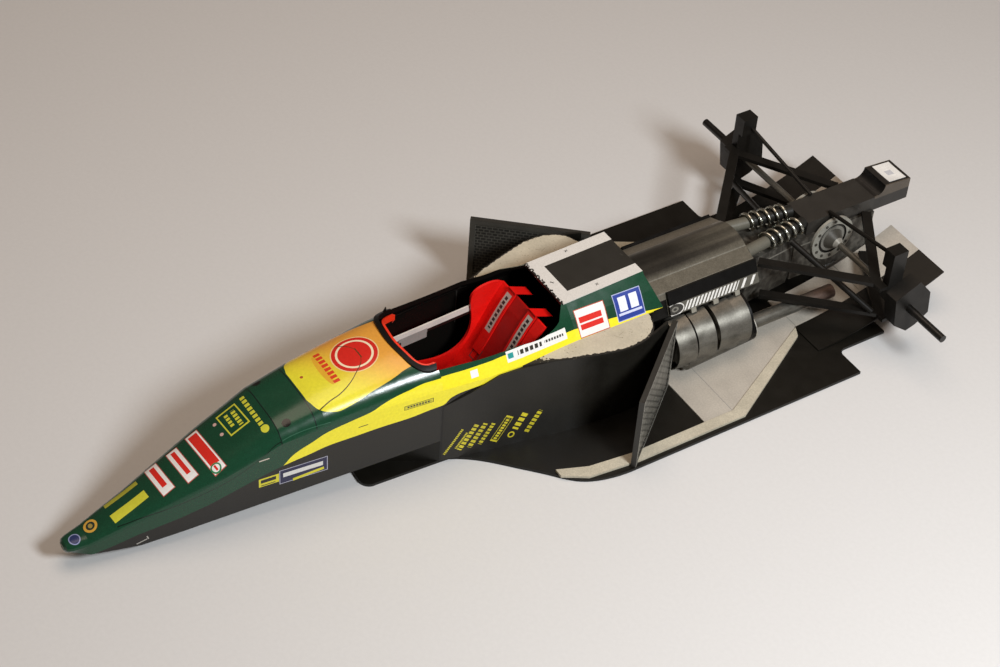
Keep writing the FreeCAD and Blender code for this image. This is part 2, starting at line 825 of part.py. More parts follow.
def gearbox_top():
    """Flat-topped box on the gearbox, stepping up to the crash box."""
    z = bellhousing_top_z + seat_gap
    return Part.makeBox(top_box_half_width * 2, crash_box_front_s - top_box_start_s, top_box_z - z,
                        at(-top_box_half_width, top_box_start_s, z))


def crash_box():
    """Tail box whose hollow front face sweeps up above the gearbox top."""
    front = crash_box_front_s + seat_gap
    x = crash_box_half_width
    foot = at(-x, front, top_box_z)
    brow = at(-x, front + crash_box_rake, crash_box_top_z)
    middle = (foot + brow) * half_share + V(0, crash_box_hollow, -crash_box_hollow)
    tail = [brow, at(-x, overall_length, crash_box_top_z - card), at(-x, overall_length, crash_box_low_z),
            at(-x, front, crash_box_low_z), foot]
    side = Part.Wire(chain(tail) + [Part.Arc(foot, middle, brow).toShape()])
    return Part.Face(side).extrude(V(x * 2, 0, 0))


def damper_line():
    """Ends of the damper's axis, front then rear."""
    return (at(damper_front_x, damper_front_s, damper_z),
            at(damper_rear_x, damper_rear_s - seat_gap, damper_z))


def damper():
    front, rear = damper_line()
    return rod(front, rear, damper_radius)


def spring():
    """Coil spring round the damper: rings of six-sided wire, one for each turn."""
    front, rear = damper_line()
    run = (rear - front).normalize()
    length = (rear - front).Length - coil_setback - coil_lead
    up = V(0, 0, 1)
    angles = [math.pi * 2 * side / coil_wire_sides for side in range(coil_wire_sides)]
    coils = []
    for turn in range(coil_count):
        centre = front + run * (coil_setback + length * turn / (coil_count - 1))
        wire = polygon([centre + up * (coil_radius + coil_wire_radius * math.cos(angle))
                        + run * (coil_wire_radius * math.sin(angle)) for angle in angles])
        coils.append(Part.Face(wire).revolve(centre, run, 360))
    return Part.makeCompound(coils)


def output_disc():
    """Flange on the gearbox with a ring groove and the cone of the shaft's joint."""
    out = V(1, 0, 0)
    centre = at(output_disc_x, rear_axle_s, axle_z)
    face = centre + out * output_disc_thickness
    disc = Part.makeCylinder(output_disc_radius, output_disc_thickness, centre, out)
    groove_foot = face - out * output_groove_depth
    groove = Part.makeCylinder(output_groove_radius, output_disc_thickness, groove_foot, out)
    island = Part.makeCylinder(output_groove_radius - output_groove_width, output_disc_thickness,
                               groove_foot, out)
    cone = Part.makeCone(cone_radius, driveshaft_radius, cone_length, face, out)
    return disc.cut(groove.cut(island)).fuse(cone)


def driveshaft():
    start_x = output_disc_x + output_disc_thickness + cone_length + seat_gap
    return rod(at(start_x, rear_axle_s, axle_z),
               at(upright_inner_x - seat_gap, rear_axle_s, axle_z), driveshaft_radius)


def upright_block():
    """Bevelled block outline of the upright, without its bore."""
    middle = rear_axle_s + upright_setback
    outline = [at(upright_inner_x, middle + upright_length * along, axle_z + upright_height * high)
               for along, high in upright_shares]
    return prism(outline, V(upright_outer_x - upright_inner_x, 0, 0))


def upright():
    """Upright with the bore for the stub axle."""
    bore = Part.makeCylinder(journal_radius + running_gap, upright_outer_x - upright_inner_x,
                             at(upright_inner_x + stub_axle_root, rear_axle_s, axle_z), V(1, 0, 0))
    return upright_block().cut(bore)


def stub_axle():
    """Stub axle: a journal inside the upright and the free end that carries the wheel."""
    start = upright_inner_x + stub_axle_root + running_gap
    shoulder = upright_outer_x + running_gap
    journal = rod(at(start, rear_axle_s, axle_z), at(shoulder, rear_axle_s, axle_z), journal_radius)
    free_end = rod(at(shoulder, rear_axle_s, axle_z), at(stub_axle_tip_x, rear_axle_s, axle_z),
                   stub_axle_radius)
    return journal.fuse(free_end)


def wishbone(z_inner, z_outer, feet, tip_s):
    """Two flat legs from their feet on the gearbox that meet in a knuckle at the upright."""
    tip_x = upright_inner_x - arm_tip_gap
    legs = [blade(at(x, s, z_inner), at(tip_x, tip_s, z_outer), arm_chord, arm_thickness)
            for x, s in feet]
    knuckle = Part.makeBox(arm_tip_gap + arm_chord * half_share - seat_gap, arm_chord, arm_thickness,
                           at(tip_x - arm_chord * half_share, tip_s - arm_chord * half_share, z_outer))
    return largest(legs[0].fuse(legs[1]).fuse(knuckle))


def upper_wishbone():
    feet = ((upper_arm_inner_x, engine_end_s + upper_arm_foot_setback),
            (upper_arm_rear_x, rear_axle_s + upper_arm_rear_reach))
    return wishbone(upper_arm_z - arm_thickness, upper_arm_z, feet, rear_axle_s - upper_arm_tip_lead)


def lower_wishbone():
    feet = ((lower_arm_inner_x, engine_end_s + lower_arm_foot_setback),
            (lower_arm_inner_x, rear_axle_s + lower_arm_rear_reach))
    return wishbone(lower_arm_z, lower_arm_z, feet, rear_axle_s - lower_arm_tip_lead)


def pushrod():
    """Rod from the top of the bellhousing down to the lower wishbone's knuckle."""
    return rod(at(pushrod_top_x, rear_axle_s - pushrod_top_lead, pushrod_top_z),
               at(upright_inner_x - arm_tip_gap, rear_axle_s - lower_arm_tip_lead - arm_chord,
                  lower_arm_z + arm_thickness + pushrod_radius + seat_gap), pushrod_radius)


def brake_duct():
    """Upright plate on the upright's inner face, with a hood at its top that holds the link."""
    x = upright_inner_x - seat_gap - duct_width
    front = rear_axle_s - duct_lead - duct_half_length
    hood_z = duct_top_z - duct_hood_height
    plate = Part.makeBox(duct_width, duct_half_length * 2, duct_top_z - duct_foot_z,
                         at(x, front, duct_foot_z))
    hood = Part.makeBox(duct_hood_width, duct_half_length * 2, duct_hood_height,
                        at(x - duct_hood_width, front, hood_z))
    return plate.fuse(hood).removeSplitter()


def toe_link(duct):
    """Thin link from the top of the gearbox out to the duct's hood."""
    start = at(toe_link_inner_x, rear_axle_s - toe_link_inner_lead,
               top_box_z + toe_link_radius + seat_gap)
    end = at(upright_inner_x - duct_width, rear_axle_s - toe_link_lead, toe_link_z)
    return largest(rod(start, end, toe_link_radius).cut(duct))


def seat_line():
    """Centre line of the seat from its front lip over the pan to the top of the back."""
    return spline([at(0, between(seat_front_s, seat_back_s, along),
                      between(seat_base_z, seat_back_z, high)) for along, high in seat_line_shares])


def seat():
    """Bucket seat on a riser: curved pan and back, a tall right wing and a low left one."""
    lift = V(0, -card, card * half_share)
    points = seat_line().discretize(seat_facets)
    shell = prism([p - V(seat_half_width, 0, 0) for p in points]
                  + [p + lift - V(seat_half_width, 0, 0) for p in reversed(points)],
                  V(seat_half_width * 2, 0, 0))
    edge = [at(0, between(seat_front_s, seat_back_s, along), seat_crest_z * high)
            for along, high in wing_edge_shares]
    outline = Part.Wire(chain(points) + chain([points[-1], edge[0]]) + [spline(edge)]
                        + chain([edge[-1], points[0]]))
    wing = Part.Face(outline).extrude(V(card, 0, 0))
    wing.translate(V(seat_half_width - card, 0, 0))
    low = Part.makeBox(seat_half_width, overall_length, left_wing_top_z, at(0, 0, 0))
    foot_z = floor_thickness + card + seat_gap
    riser = Part.makeBox(riser_half_width * 2, riser_length, seat_base_z + card * half_share - foot_z,
                         at(-riser_half_width, seat_front_s + riser_setback, foot_z))
    return shell.fuse(wing.common(low)).fuse(mirrored(wing)).fuse(riser).removeSplitter()


def belts():
    """Two shoulder belts that lie on the seat's back and fold away over its top edge."""
    lift = V(0, -card - seat_gap, card * half_share)
    points = seat_line().discretize(seat_facets)[seat_facets // 2:]
    top = points[-1] + V(0, 0, card)
    low = [p + lift for p in points] + [top + lift, top + V(0, belt_tail_length, -belt_tail_drop)]
    high = [p + V(0, -belt_thickness, belt_thickness) for p in low]
    strap = prism(low + list(reversed(high)), V(belt_width, 0, 0))
    strap.translate(V(belt_offset - belt_width * half_share, 0, 0))
    return both_sides(strap)


def cowl_edge(inset):
    """Plan curve of the cowl's rear edge from left to right, drawn in by an inset."""
    left = opening_points(opening_front_shares)
    points = list(reversed(left)) + [mirror_point(point) for point in left[1:]]
    curve = []
    for i, point in enumerate(points):
        run = points[min(i + 1, len(points) - 1)] - points[max(i - 1, 0)]
        curve.append(at(point.x, point.y + overall_length / 2, 0)
                     + V(run.y, -run.x, 0).normalize() * inset)
    return spline(curve)


def cowl_band(outset, inset, high_wall, low_wall):
    """Band along the cowl's edge, between two insets in plan and two depths below its skin."""
    arcs = [cowl_edge(outset), cowl_edge(inset)]
    ends = [Part.makeLine(arcs[0].Vertexes[i].Point, arcs[1].Vertexes[i].Point) for i in (0, 1)]
    column = Part.Face(closed_wire(arcs + ends)).extrude(V(0, 0, cowl_top_z * 2))
    front = loft(front_tub_wires(high_wall)).cut(loft(front_tub_wires(low_wall)))
    rear = loft(tub_wires(high_wall, floor_thickness)).cut(loft(tub_wires(low_wall, floor_thickness)))
    return largest(column.common(front).fuse(column.common(rear)))


def cockpit_trim(tub):
    """Rolled edge along the front of the opening, with the turned-up flap on its far end."""
    band = cowl_band(0, trim_width, -trim_height * half_share, trim_height)
    corner_along, corner_across = opening_front_shares[-1]
    x = -opening_half_width * corner_across + trim_width * half_share
    corner_s = between(opening_front_s, opening_rear_s, corner_along)
    flap_s = corner_s - flap_length - flap_lead
    flap = prism([at(x, flap_s, cowl_crease_z), at(x, flap_s + flap_length, cowl_crease_z),
                  at(x, flap_s + flap_length, rim_z + flap_height * half_share),
                  at(x, flap_s + flap_length, rim_z + flap_height)], V(thin_card, 0, 0))
    skin = loft(front_tub_wires(trim_height * half_share))
    skin_rear = loft(tub_wires(trim_height * half_share, floor_thickness))
    return largest(band.fuse(flap.cut(skin).cut(skin_rear)).cut(tub))


def cockpit_liner():
    """Red hoop of the cockpit liner that shows just behind the trim."""
    return cowl_band(liner_setback, liner_setback + liner_width, liner_top, liner_depth)


def linkage():
    """Pale strip glued along the seat's right wing, with a plate under its front."""
    start = at(-linkage_x, linkage_front_s, linkage_front_z)
    run = at(-linkage_x, linkage_front_s + linkage_length, linkage_rear_z) - start
    up = V(0, 0, linkage_height)
    strip = prism([start, start + run, start + run + up, start + up], V(-thin_card, 0, 0))
    along = V(run).normalize()
    foot = start + along * linkage_plate_setback
    length = along * linkage_plate_length
    down = V(0, 0, -linkage_plate_height)
    plate = prism([foot + down, foot + length + down, foot + length, foot], V(-thin_card, 0, 0))
    return strip.fuse(plate).removeSplitter()


def build_model():
    """All pieces by name, at their places in the model."""
    tub_body = loft(tub_wires(0, floor_thickness))
    panel = radiator()
    manifold = exhaust_manifold()
    duct = brake_duct()
    front = front_tub()
    model = {
        "floor_plate": floor_plate(),
        "keel": keel(),
        "nose_cone": nose_cone(),
        "front_tub": front,
        "cockpit_tub": cockpit_tub(),
        "rear_deck": rear_deck(),
        "seat": seat(),
        "belts": belts(),
        "cockpit_trim": cockpit_trim(front),
        "cockpit_liner": cockpit_liner(),
        "linkage_rod": linkage(),
        "engine_block": engine_block(),
        "plenum": plenum(),
        "bellhousing": bellhousing(),
        "gearbox": gearbox(),
        "gearbox_top": gearbox_top(),
        "crash_box": crash_box(),
        "glue_strips": both_sides(glue_strip(panel)),
        "toe_links": both_sides(toe_link(duct)),
        "pushrods": both_sides(pushrod()),
        "driveshafts": both_sides(driveshaft()),
    }
    pairs = {
        "tank_wall": tank_wall(tub_body),
        "tank_flange": tank_flange(tub_body),
        "radiator": panel,
        "cam_cover": cam_cover(),
        "exhaust_manifold": manifold,
        "tail_pipe": tail_pipe(manifold),
        "floor_cover": floor_cover(panel),
        "tunnel_roof": ramp(ramp_inner_x, ramp_split_x - seat_gap),
        "diffuser_side": ramp(ramp_split_x, ramp_outer_x),
        "damper": largest(damper().cut(gearbox_top())),
        "spring": spring(),
        "output_disc": output_disc(),
        "upper_wishbone": upper_wishbone(),
        "lower_wishbone": lower_wishbone(),
        "upright": upright(),
        "brake_duct": duct,
        "stub_axle": stub_axle(),
    }
    for name, shape in pairs.items():
        model[name + "_left"] = shape
        model[name + "_right"] = mirrored(shape)
    return model


def main():
    os.makedirs("parts", exist_ok=True)
    for name, shape in build_model().items():
        shape.exportStep("parts/" + name + ".step")


main()
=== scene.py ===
"""Looks of a part-built card model of an open wheel racing car, 1:24, on its floor plate.

Sizes are in millimetres in the car's own stations: x towards the car's left, s behind the
nose tip, z above the table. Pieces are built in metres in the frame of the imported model.
"""

import logging
import math
from dataclasses import dataclass
from enum import Enum

import bmesh
import bpy
from mathutils import Matrix, Vector


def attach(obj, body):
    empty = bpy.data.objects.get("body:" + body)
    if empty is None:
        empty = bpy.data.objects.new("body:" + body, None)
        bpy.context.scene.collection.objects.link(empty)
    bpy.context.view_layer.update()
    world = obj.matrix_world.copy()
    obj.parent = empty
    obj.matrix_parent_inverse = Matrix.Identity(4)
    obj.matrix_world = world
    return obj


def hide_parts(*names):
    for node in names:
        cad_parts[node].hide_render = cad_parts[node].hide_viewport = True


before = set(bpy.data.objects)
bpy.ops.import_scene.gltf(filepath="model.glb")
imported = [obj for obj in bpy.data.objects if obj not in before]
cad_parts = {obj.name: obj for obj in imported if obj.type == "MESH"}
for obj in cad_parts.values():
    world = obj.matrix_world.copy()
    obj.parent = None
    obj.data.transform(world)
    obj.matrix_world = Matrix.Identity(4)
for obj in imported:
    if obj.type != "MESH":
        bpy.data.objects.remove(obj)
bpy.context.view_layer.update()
LOG = logging.getLogger("card_racing_car")

Pair = tuple[float, float]
Triple = tuple[float, float, float]
Socket = bpy.types.NodeSocket
Material = bpy.types.Material

# One millimetre in metres, then lengths in millimetres. AXLE is the rear axle's s and z.
MM = 0.001
HALF_LENGTH = 90.35
CHASSIS = "chassis"
FAR = 1000.0
FLOOR_TOP = 0.6
AXLE = (161.2, 11.4)

# Range in which noise mostly lies, octaves of finer noise, and how uneven the sheen is.
NOISE_LOW, NOISE_HIGH = 0.3, 0.7
FINE_DETAIL, ROUGH_DETAIL = 3.0, 4.0
WEAR_SIZE, WEAR_SHARE = 2.5, 0.15
DULL_SPECULAR = 0.05
BLOCK_SHARE = 0.68

MATH = "ShaderNodeMath"
VECTOR = "ShaderNodeVectorMath"
RANGE = "ShaderNodeMapRange"
PARTS = "ShaderNodeSeparateXYZ"
SIZE = {"operation": "ABSOLUTE"}
PLUS = {"operation": "ADD"}
MINUS = {"operation": "SUBTRACT"}
TIMES = {"operation": "MULTIPLY"}
TIMES_PLUS = {"operation": "MULTIPLY_ADD"}
OVER = {"operation": "DIVIDE"}
WITHIN = {"operation": "COMPARE"}
LESS = {"operation": "LESS_THAN"}
LARGER = {"operation": "MAXIMUM"}
FRACTION = {"operation": "FRACT"}
LENGTH = {"operation": "LENGTH"}
ALONG = {"operation": "DOT_PRODUCT"}


def at(x: float, s: float, z: float) -> Vector:
    """Point in metres for a place in millimetres, s behind the nose tip."""
    return Vector((x, s - HALF_LENGTH, z)) * MM


def linear(ink: str) -> tuple[float, float, float, float]:
    """Turns an sRGB hex colour to linear.

    Args:
        ink: Colour as six hex digits after a hash.

    Returns:
        Red, green, blue and alpha.
    """
    shares = [int(ink[start:start + 2], 16) / 255 for start in (1, 3, 5)]
    red, green, blue = [share / 12.92 if share <= 0.04045 else ((share + 0.055) / 1.055) ** 2.4
                        for share in shares]
    return red, green, blue, 1.0


def add_node(tree: bpy.types.NodeTree, kind: str, settings: dict | None = None,
             inputs: dict | None = None) -> bpy.types.Node:
    """Adds a node with its settings, values and links.

    Args:
        tree: Node tree that takes the node.
        kind: The node's type name.
        settings: Attributes of the node.
        inputs: Values or output sockets by input name or number.

    Returns:
        The new node.
    """
    node = tree.nodes.new(kind)
    for name, value in (settings or {}).items():
        setattr(node, name, value)
    for key, value in (inputs or {}).items():
        if isinstance(value, Socket):
            tree.links.new(value, node.inputs[key])
        else:
            node.inputs[key].default_value = value
    return node


class Outline(Enum):
    """Outline of a printed mark, as wide and long as its half sizes."""

    PLATE = "plate"
    DISC = "disc"


@dataclass(frozen=True)
class Mark:
    """A flat printed mark on the card: a plate, a disc or a row of plain blocks."""

    centre: Triple
    half: Pair
    ink: str
    along: Triple = (0.0, 1.0, 0.0)
    across: Triple = (1.0, 0.0, 0.0)
    outline: Outline = Outline.PLATE
    hole: float = 0.0
    both_sides: bool = False
    depth: float = 2.0
    dash: float = 0.0

    def turn(self) -> Matrix:
        """Axes of the mark.

        Returns:
            Rotation whose columns run along, across and out of the mark.
        """
        along = Vector(self.along).normalized()
        normal = along.cross(Vector(self.across)).normalized()
        return Matrix((along, normal.cross(along), normal)).transposed()


@dataclass(frozen=True)
class Edge:
    """Edge of a printed area: a station and the height or half-width there, point by point."""

    points: tuple[Pair, ...]

    def span(self, column: int) -> Pair:
        """Lowest and highest value of one column."""
        values = [point[column] for point in self.points]
        return min(values), max(values)


class Canvas:
    """A material in the making: inks laid over one another on a sheet of card."""

    def __init__(self, name: str, ink: str) -> None:
        """Starts the material.

        Args:
            name: Name of the finish.
            ink: Colour of the sheet.
        """
        self.material = bpy.data.materials.new(name)
        self.material.use_nodes = True
        self.tree = self.material.node_tree
        self.tree.nodes.clear()
        place = self.add("ShaderNodeTexCoord", output="Object")
        self.place = self.add(VECTOR, TIMES_PLUS,
                              {0: place, 1: (1 / MM,) * 3, 2: (0.0, HALF_LENGTH, 0.0)})
        self.x, self.s, self.z = add_node(self.tree, PARTS, None, {0: self.place}).outputs
        self.width = self.add(MATH, SIZE, {0: self.x})
        self.either_side = self.add("ShaderNodeCombineXYZ", None,
                                    {0: self.width, 1: self.s, 2: self.z})
        self.normal = self.add("ShaderNodeNewGeometry", output="Normal")
        self.colour = linear(ink)
        self.bump = None
        self.dull = None

    def add(self, kind: str, settings: dict | None = None, inputs: dict | None = None,
            output: object = 0) -> Socket:
        """Adds a node to the material and gives one of its outputs by name or number."""
        return add_node(self.tree, kind, settings, inputs).outputs[output]

    def mask(self, value: Socket, low: float = -FAR, high: float = FAR,
             soft: float = 0.0) -> Socket:
        """Mask of the places where a value lies between two bounds.

        Args:
            value: Value at each place.
            low: Lower bound.
            high: Upper bound.
            soft: Width over which the mask fades inside each bound.

        Returns:
            Socket from 0 to 1.
        """
        if not soft:
            return self.add(MATH, WITHIN, {0: value, 1: (low + high) / 2, 2: (high - low) / 2})
        rise = self.add(RANGE, None, {"Value": value, 1: low, 2: low + soft})
        fall = self.add(RANGE, None, {"Value": value, 1: high, 2: high - soft})
        return self.both(rise, fall)

    def both(self, *masks: object) -> Socket:
        """Mask of the places that lie in every mask.

        Args:
            masks: Sockets or numbers from 0 to 1.

        Returns:
            Socket from 0 to 1.
        """
        result = masks[0]
        for mask in masks[1:]:
            result = self.add(MATH, TIMES, {0: result, 1: mask})
        return result

    def line(self, edge: Edge) -> Socket:
        """Value of an edge at each station.

        Args:
            edge: Points of the edge.

        Returns:
            Socket with the height or half-width in millimetres.
        """
        start, end = edge.span(0)
        low, high = edge.span(1)
        share = self.add(RANGE, None, {"Value": self.s, 1: start, 2: end})
        curve = add_node(self.tree, "ShaderNodeFloatCurve", None, {"Value": share})
        points = [((s - start) / (end - start), (v - low) / (high - low)) for s, v in edge.points]
        line = curve.mapping.curves[0]
        line.points[0].location = points[0]
        line.points[1].location = points[-1]
        for point in points[1:-1]:
            line.points.new(*point)
        for point in line.points:
            point.handle_type = "AUTO_CLAMPED"
        curve.mapping.update()
        return self.add(RANGE, {"clamp": False}, {"Value": curve.outputs[0], 3: low, 4: high})

    def under(self, value: Socket, edge: Edge) -> Socket:
        """Mask of the places where a value is less than an edge."""
        return self.add(MATH, LESS, {0: value, 1: self.line(edge)})

    def noise(self, size: float, detail: float = 2.0,
              stretch: Triple = (1.0, 1.0, 1.0)) -> Socket:
        """Noise with blotches of a given size.

        Args:
            size: Size of a blotch in millimetres.
            detail: Octaves of finer noise.
            stretch: Factor on each axis, below 1 for a streak along it.

        Returns:
            Socket from 0 to 1, mostly near a half.
        """
        place = self.add(VECTOR, TIMES, {0: self.place, 1: stretch})
        return self.add("ShaderNodeTexNoise", None,
                        {"Vector": place, "Scale": 1 / size, "Detail": detail})

    def cover(self, mask: object, ink: object) -> None:
        """Lays an ink over the sheet.

        Args:
            mask: Where the ink goes, from 0 to 1.
            ink: Hex colour or a colour socket.
        """
        over = linear(ink) if isinstance(ink, str) else ink
        self.colour = self.add("ShaderNodeMix", {"data_type": "RGBA"},
                               {0: mask, 6: self.colour, 7: over}, 2)

    def print_marks(self, marks: tuple[Mark, ...]) -> None:
        """Prints flat marks one over another.

        Args:
            marks: Marks, the lowest first.
        """
        for mark in marks:
            local = self.add("ShaderNodeMapping", {"vector_type": "TEXTURE"},
                             {"Vector": self.either_side if mark.both_sides else self.place,
                              "Location": mark.centre, "Rotation": mark.turn().to_euler(),
                              "Scale": (*mark.half, mark.depth)})
            if mark.outline is Outline.DISC:
                reach = self.add(VECTOR, LENGTH, {0: local}, "Value")
            else:
                reaches = self.add(VECTOR, SIZE, {0: local})
                parts = add_node(self.tree, PARTS, None, {0: reaches}).outputs
                wider = self.add(MATH, LARGER, {0: parts[0], 1: parts[1]})
                reach = self.add(MATH, LARGER, {0: wider, 1: parts[2]})
            area = self.mask(reach, mark.hole, 1.0)
            if mark.dash:
                run = self.add(PARTS, None, {0: local})
                share = self.add(MATH, TIMES, {0: run, 1: mark.half[0] / mark.dash})
                blocks = self.mask(self.add(MATH, FRACTION, {0: share}), high=BLOCK_SHARE)
                area = self.both(area, blocks)
            self.cover(area, mark.ink)

    def other_sheet(self, ink: str, marks: tuple[Mark, ...]) -> Socket:
        """Colour of another sheet with its own marks, to lay over this one by a mask.

        Args:
            ink: Colour of the other sheet.
            marks: Marks on it.

        Returns:
            The other sheet's colour.
        """
        kept, self.colour = self.colour, linear(ink)
        self.print_marks(marks)
        result, self.colour = self.colour, kept
        return result

    def vary(self, noise: Socket, level: float, share: float) -> Socket:
        """Turns noise to values that stray from a level by a share of it, up and down."""
        return self.add(RANGE, None, {"Value": noise, 1: NOISE_LOW, 2: NOISE_HIGH,
                                      3: level * (1 - share), 4: level * (1 + share)})

    def grain(self, size: float, strength: float, stretch: Triple = (1.0, 1.0, 1.0)) -> None:
        """Makes the ink lighter and darker by the grain of the print.

        Real dots of ink are under 0.1 mm wide, too fine to show, so they are drawn coarser.

        Args:
            size: Size of the grain in millimetres.
            strength: Share by which the brightness changes.
            stretch: Factor on each axis of the grain.
        """
        level = self.vary(self.noise(size, FINE_DETAIL, stretch), 1.0, strength)
        colour = self.colour[:3] if isinstance(self.colour, tuple) else self.colour
        self.colour = self.add(VECTOR, {"operation": "SCALE"}, {0: colour, "Scale": level})

    def fibre(self, size: float, height: float) -> None:
        """Raises the surface by the fibres of the card.

        Real fibres are a few hundredths of a millimetre thick, so they are drawn coarser.

        Args:
            size: Size of a fibre in millimetres.
            height: Height of the fibres in millimetres.
        """
        inputs = {"Height": self.noise(size, FINE_DETAIL), "Distance": height * MM,
                  "Strength": 1.0}
        if self.bump:
            inputs["Normal"] = self.bump
        self.bump = self.add("ShaderNodeBump", None, inputs)

    def finish(self, roughness: float, metallic: float = 0.0,
               specular: float = 0.5) -> Material:
        """Sets the sheen and closes the material.

        Args:
            roughness: Roughness of the surface.
            metallic: Share of metal in the ink.
            specular: Strength of the reflection, 0.5 for plain card.

        Returns:
            The finished material.
        """
        wear = self.vary(self.noise(WEAR_SIZE), roughness, WEAR_SHARE)
        inputs = {"Base Color": self.colour, "Roughness": wear, "Metallic": metallic,
                  "Specular IOR Level": specular}
        if self.dull:
            inputs["Specular IOR Level"] = self.add(
                RANGE, None, {"Value": self.dull, 3: specular, 4: DULL_SPECULAR})
        if self.bump:
            inputs["Normal"] = self.bump
        shader = self.add("ShaderNodeBsdfPrincipled", None, inputs)
        add_node(self.tree, "ShaderNodeOutputMaterial", None, {"Surface": shader})
        return self.material


@dataclass(frozen=True)
class PlainCard:
    """Card with one printed or raw colour: fine paper grain, slow blotches, soft sheen."""

    name: str
    ink: str
    roughness: float = 0.5
    metallic: float = 0.0
    grain_size: float = 0.25
    grain_strength: float = 0.14
    blotch_size: float = 6.0
    blotch_strength: float = 0.12
    specular: float = 0.5

    def build(self) -> Material:
        """Makes the material.

        Returns:
            The finished material.
        """
        canvas = Canvas(self.name, self.ink)
        canvas.grain(self.grain_size, self.grain_strength)
        canvas.grain(self.blotch_size, self.blotch_strength)
        canvas.fibre(0.3, 0.012)
        return canvas.finish(self.roughness, self.metallic, specular=self.specular)


GREEN = "#0f3d28"
BLACK = "#15130f"
YELLOW = "#ecdd2b"
ORANGE = "#dc9a3c"
WHITE = "#e4e2de"
RED = "#d02a20"
NAVY = "#2b3f8f"
NOSE_YELLOW = "#c9c63a"
NOSE_RISE = (-0.06, 0.92, 0.39)
COWL_RISE = (0.0, 0.99, 0.13)
SIDE_RUN = (0.1, 1.0, 0.02)
NOSE_SIDE_RUN = (0.14, 0.94, 0.3)
LEFTWARD = (1.0, 0.0, 0.0)
UPWARD = (0.0, 0.0, 1.0)
FLANK_RUN = (0.02, 1.0, 0.0)
FLANK_FALL = (0.58, 0.0, -0.81)


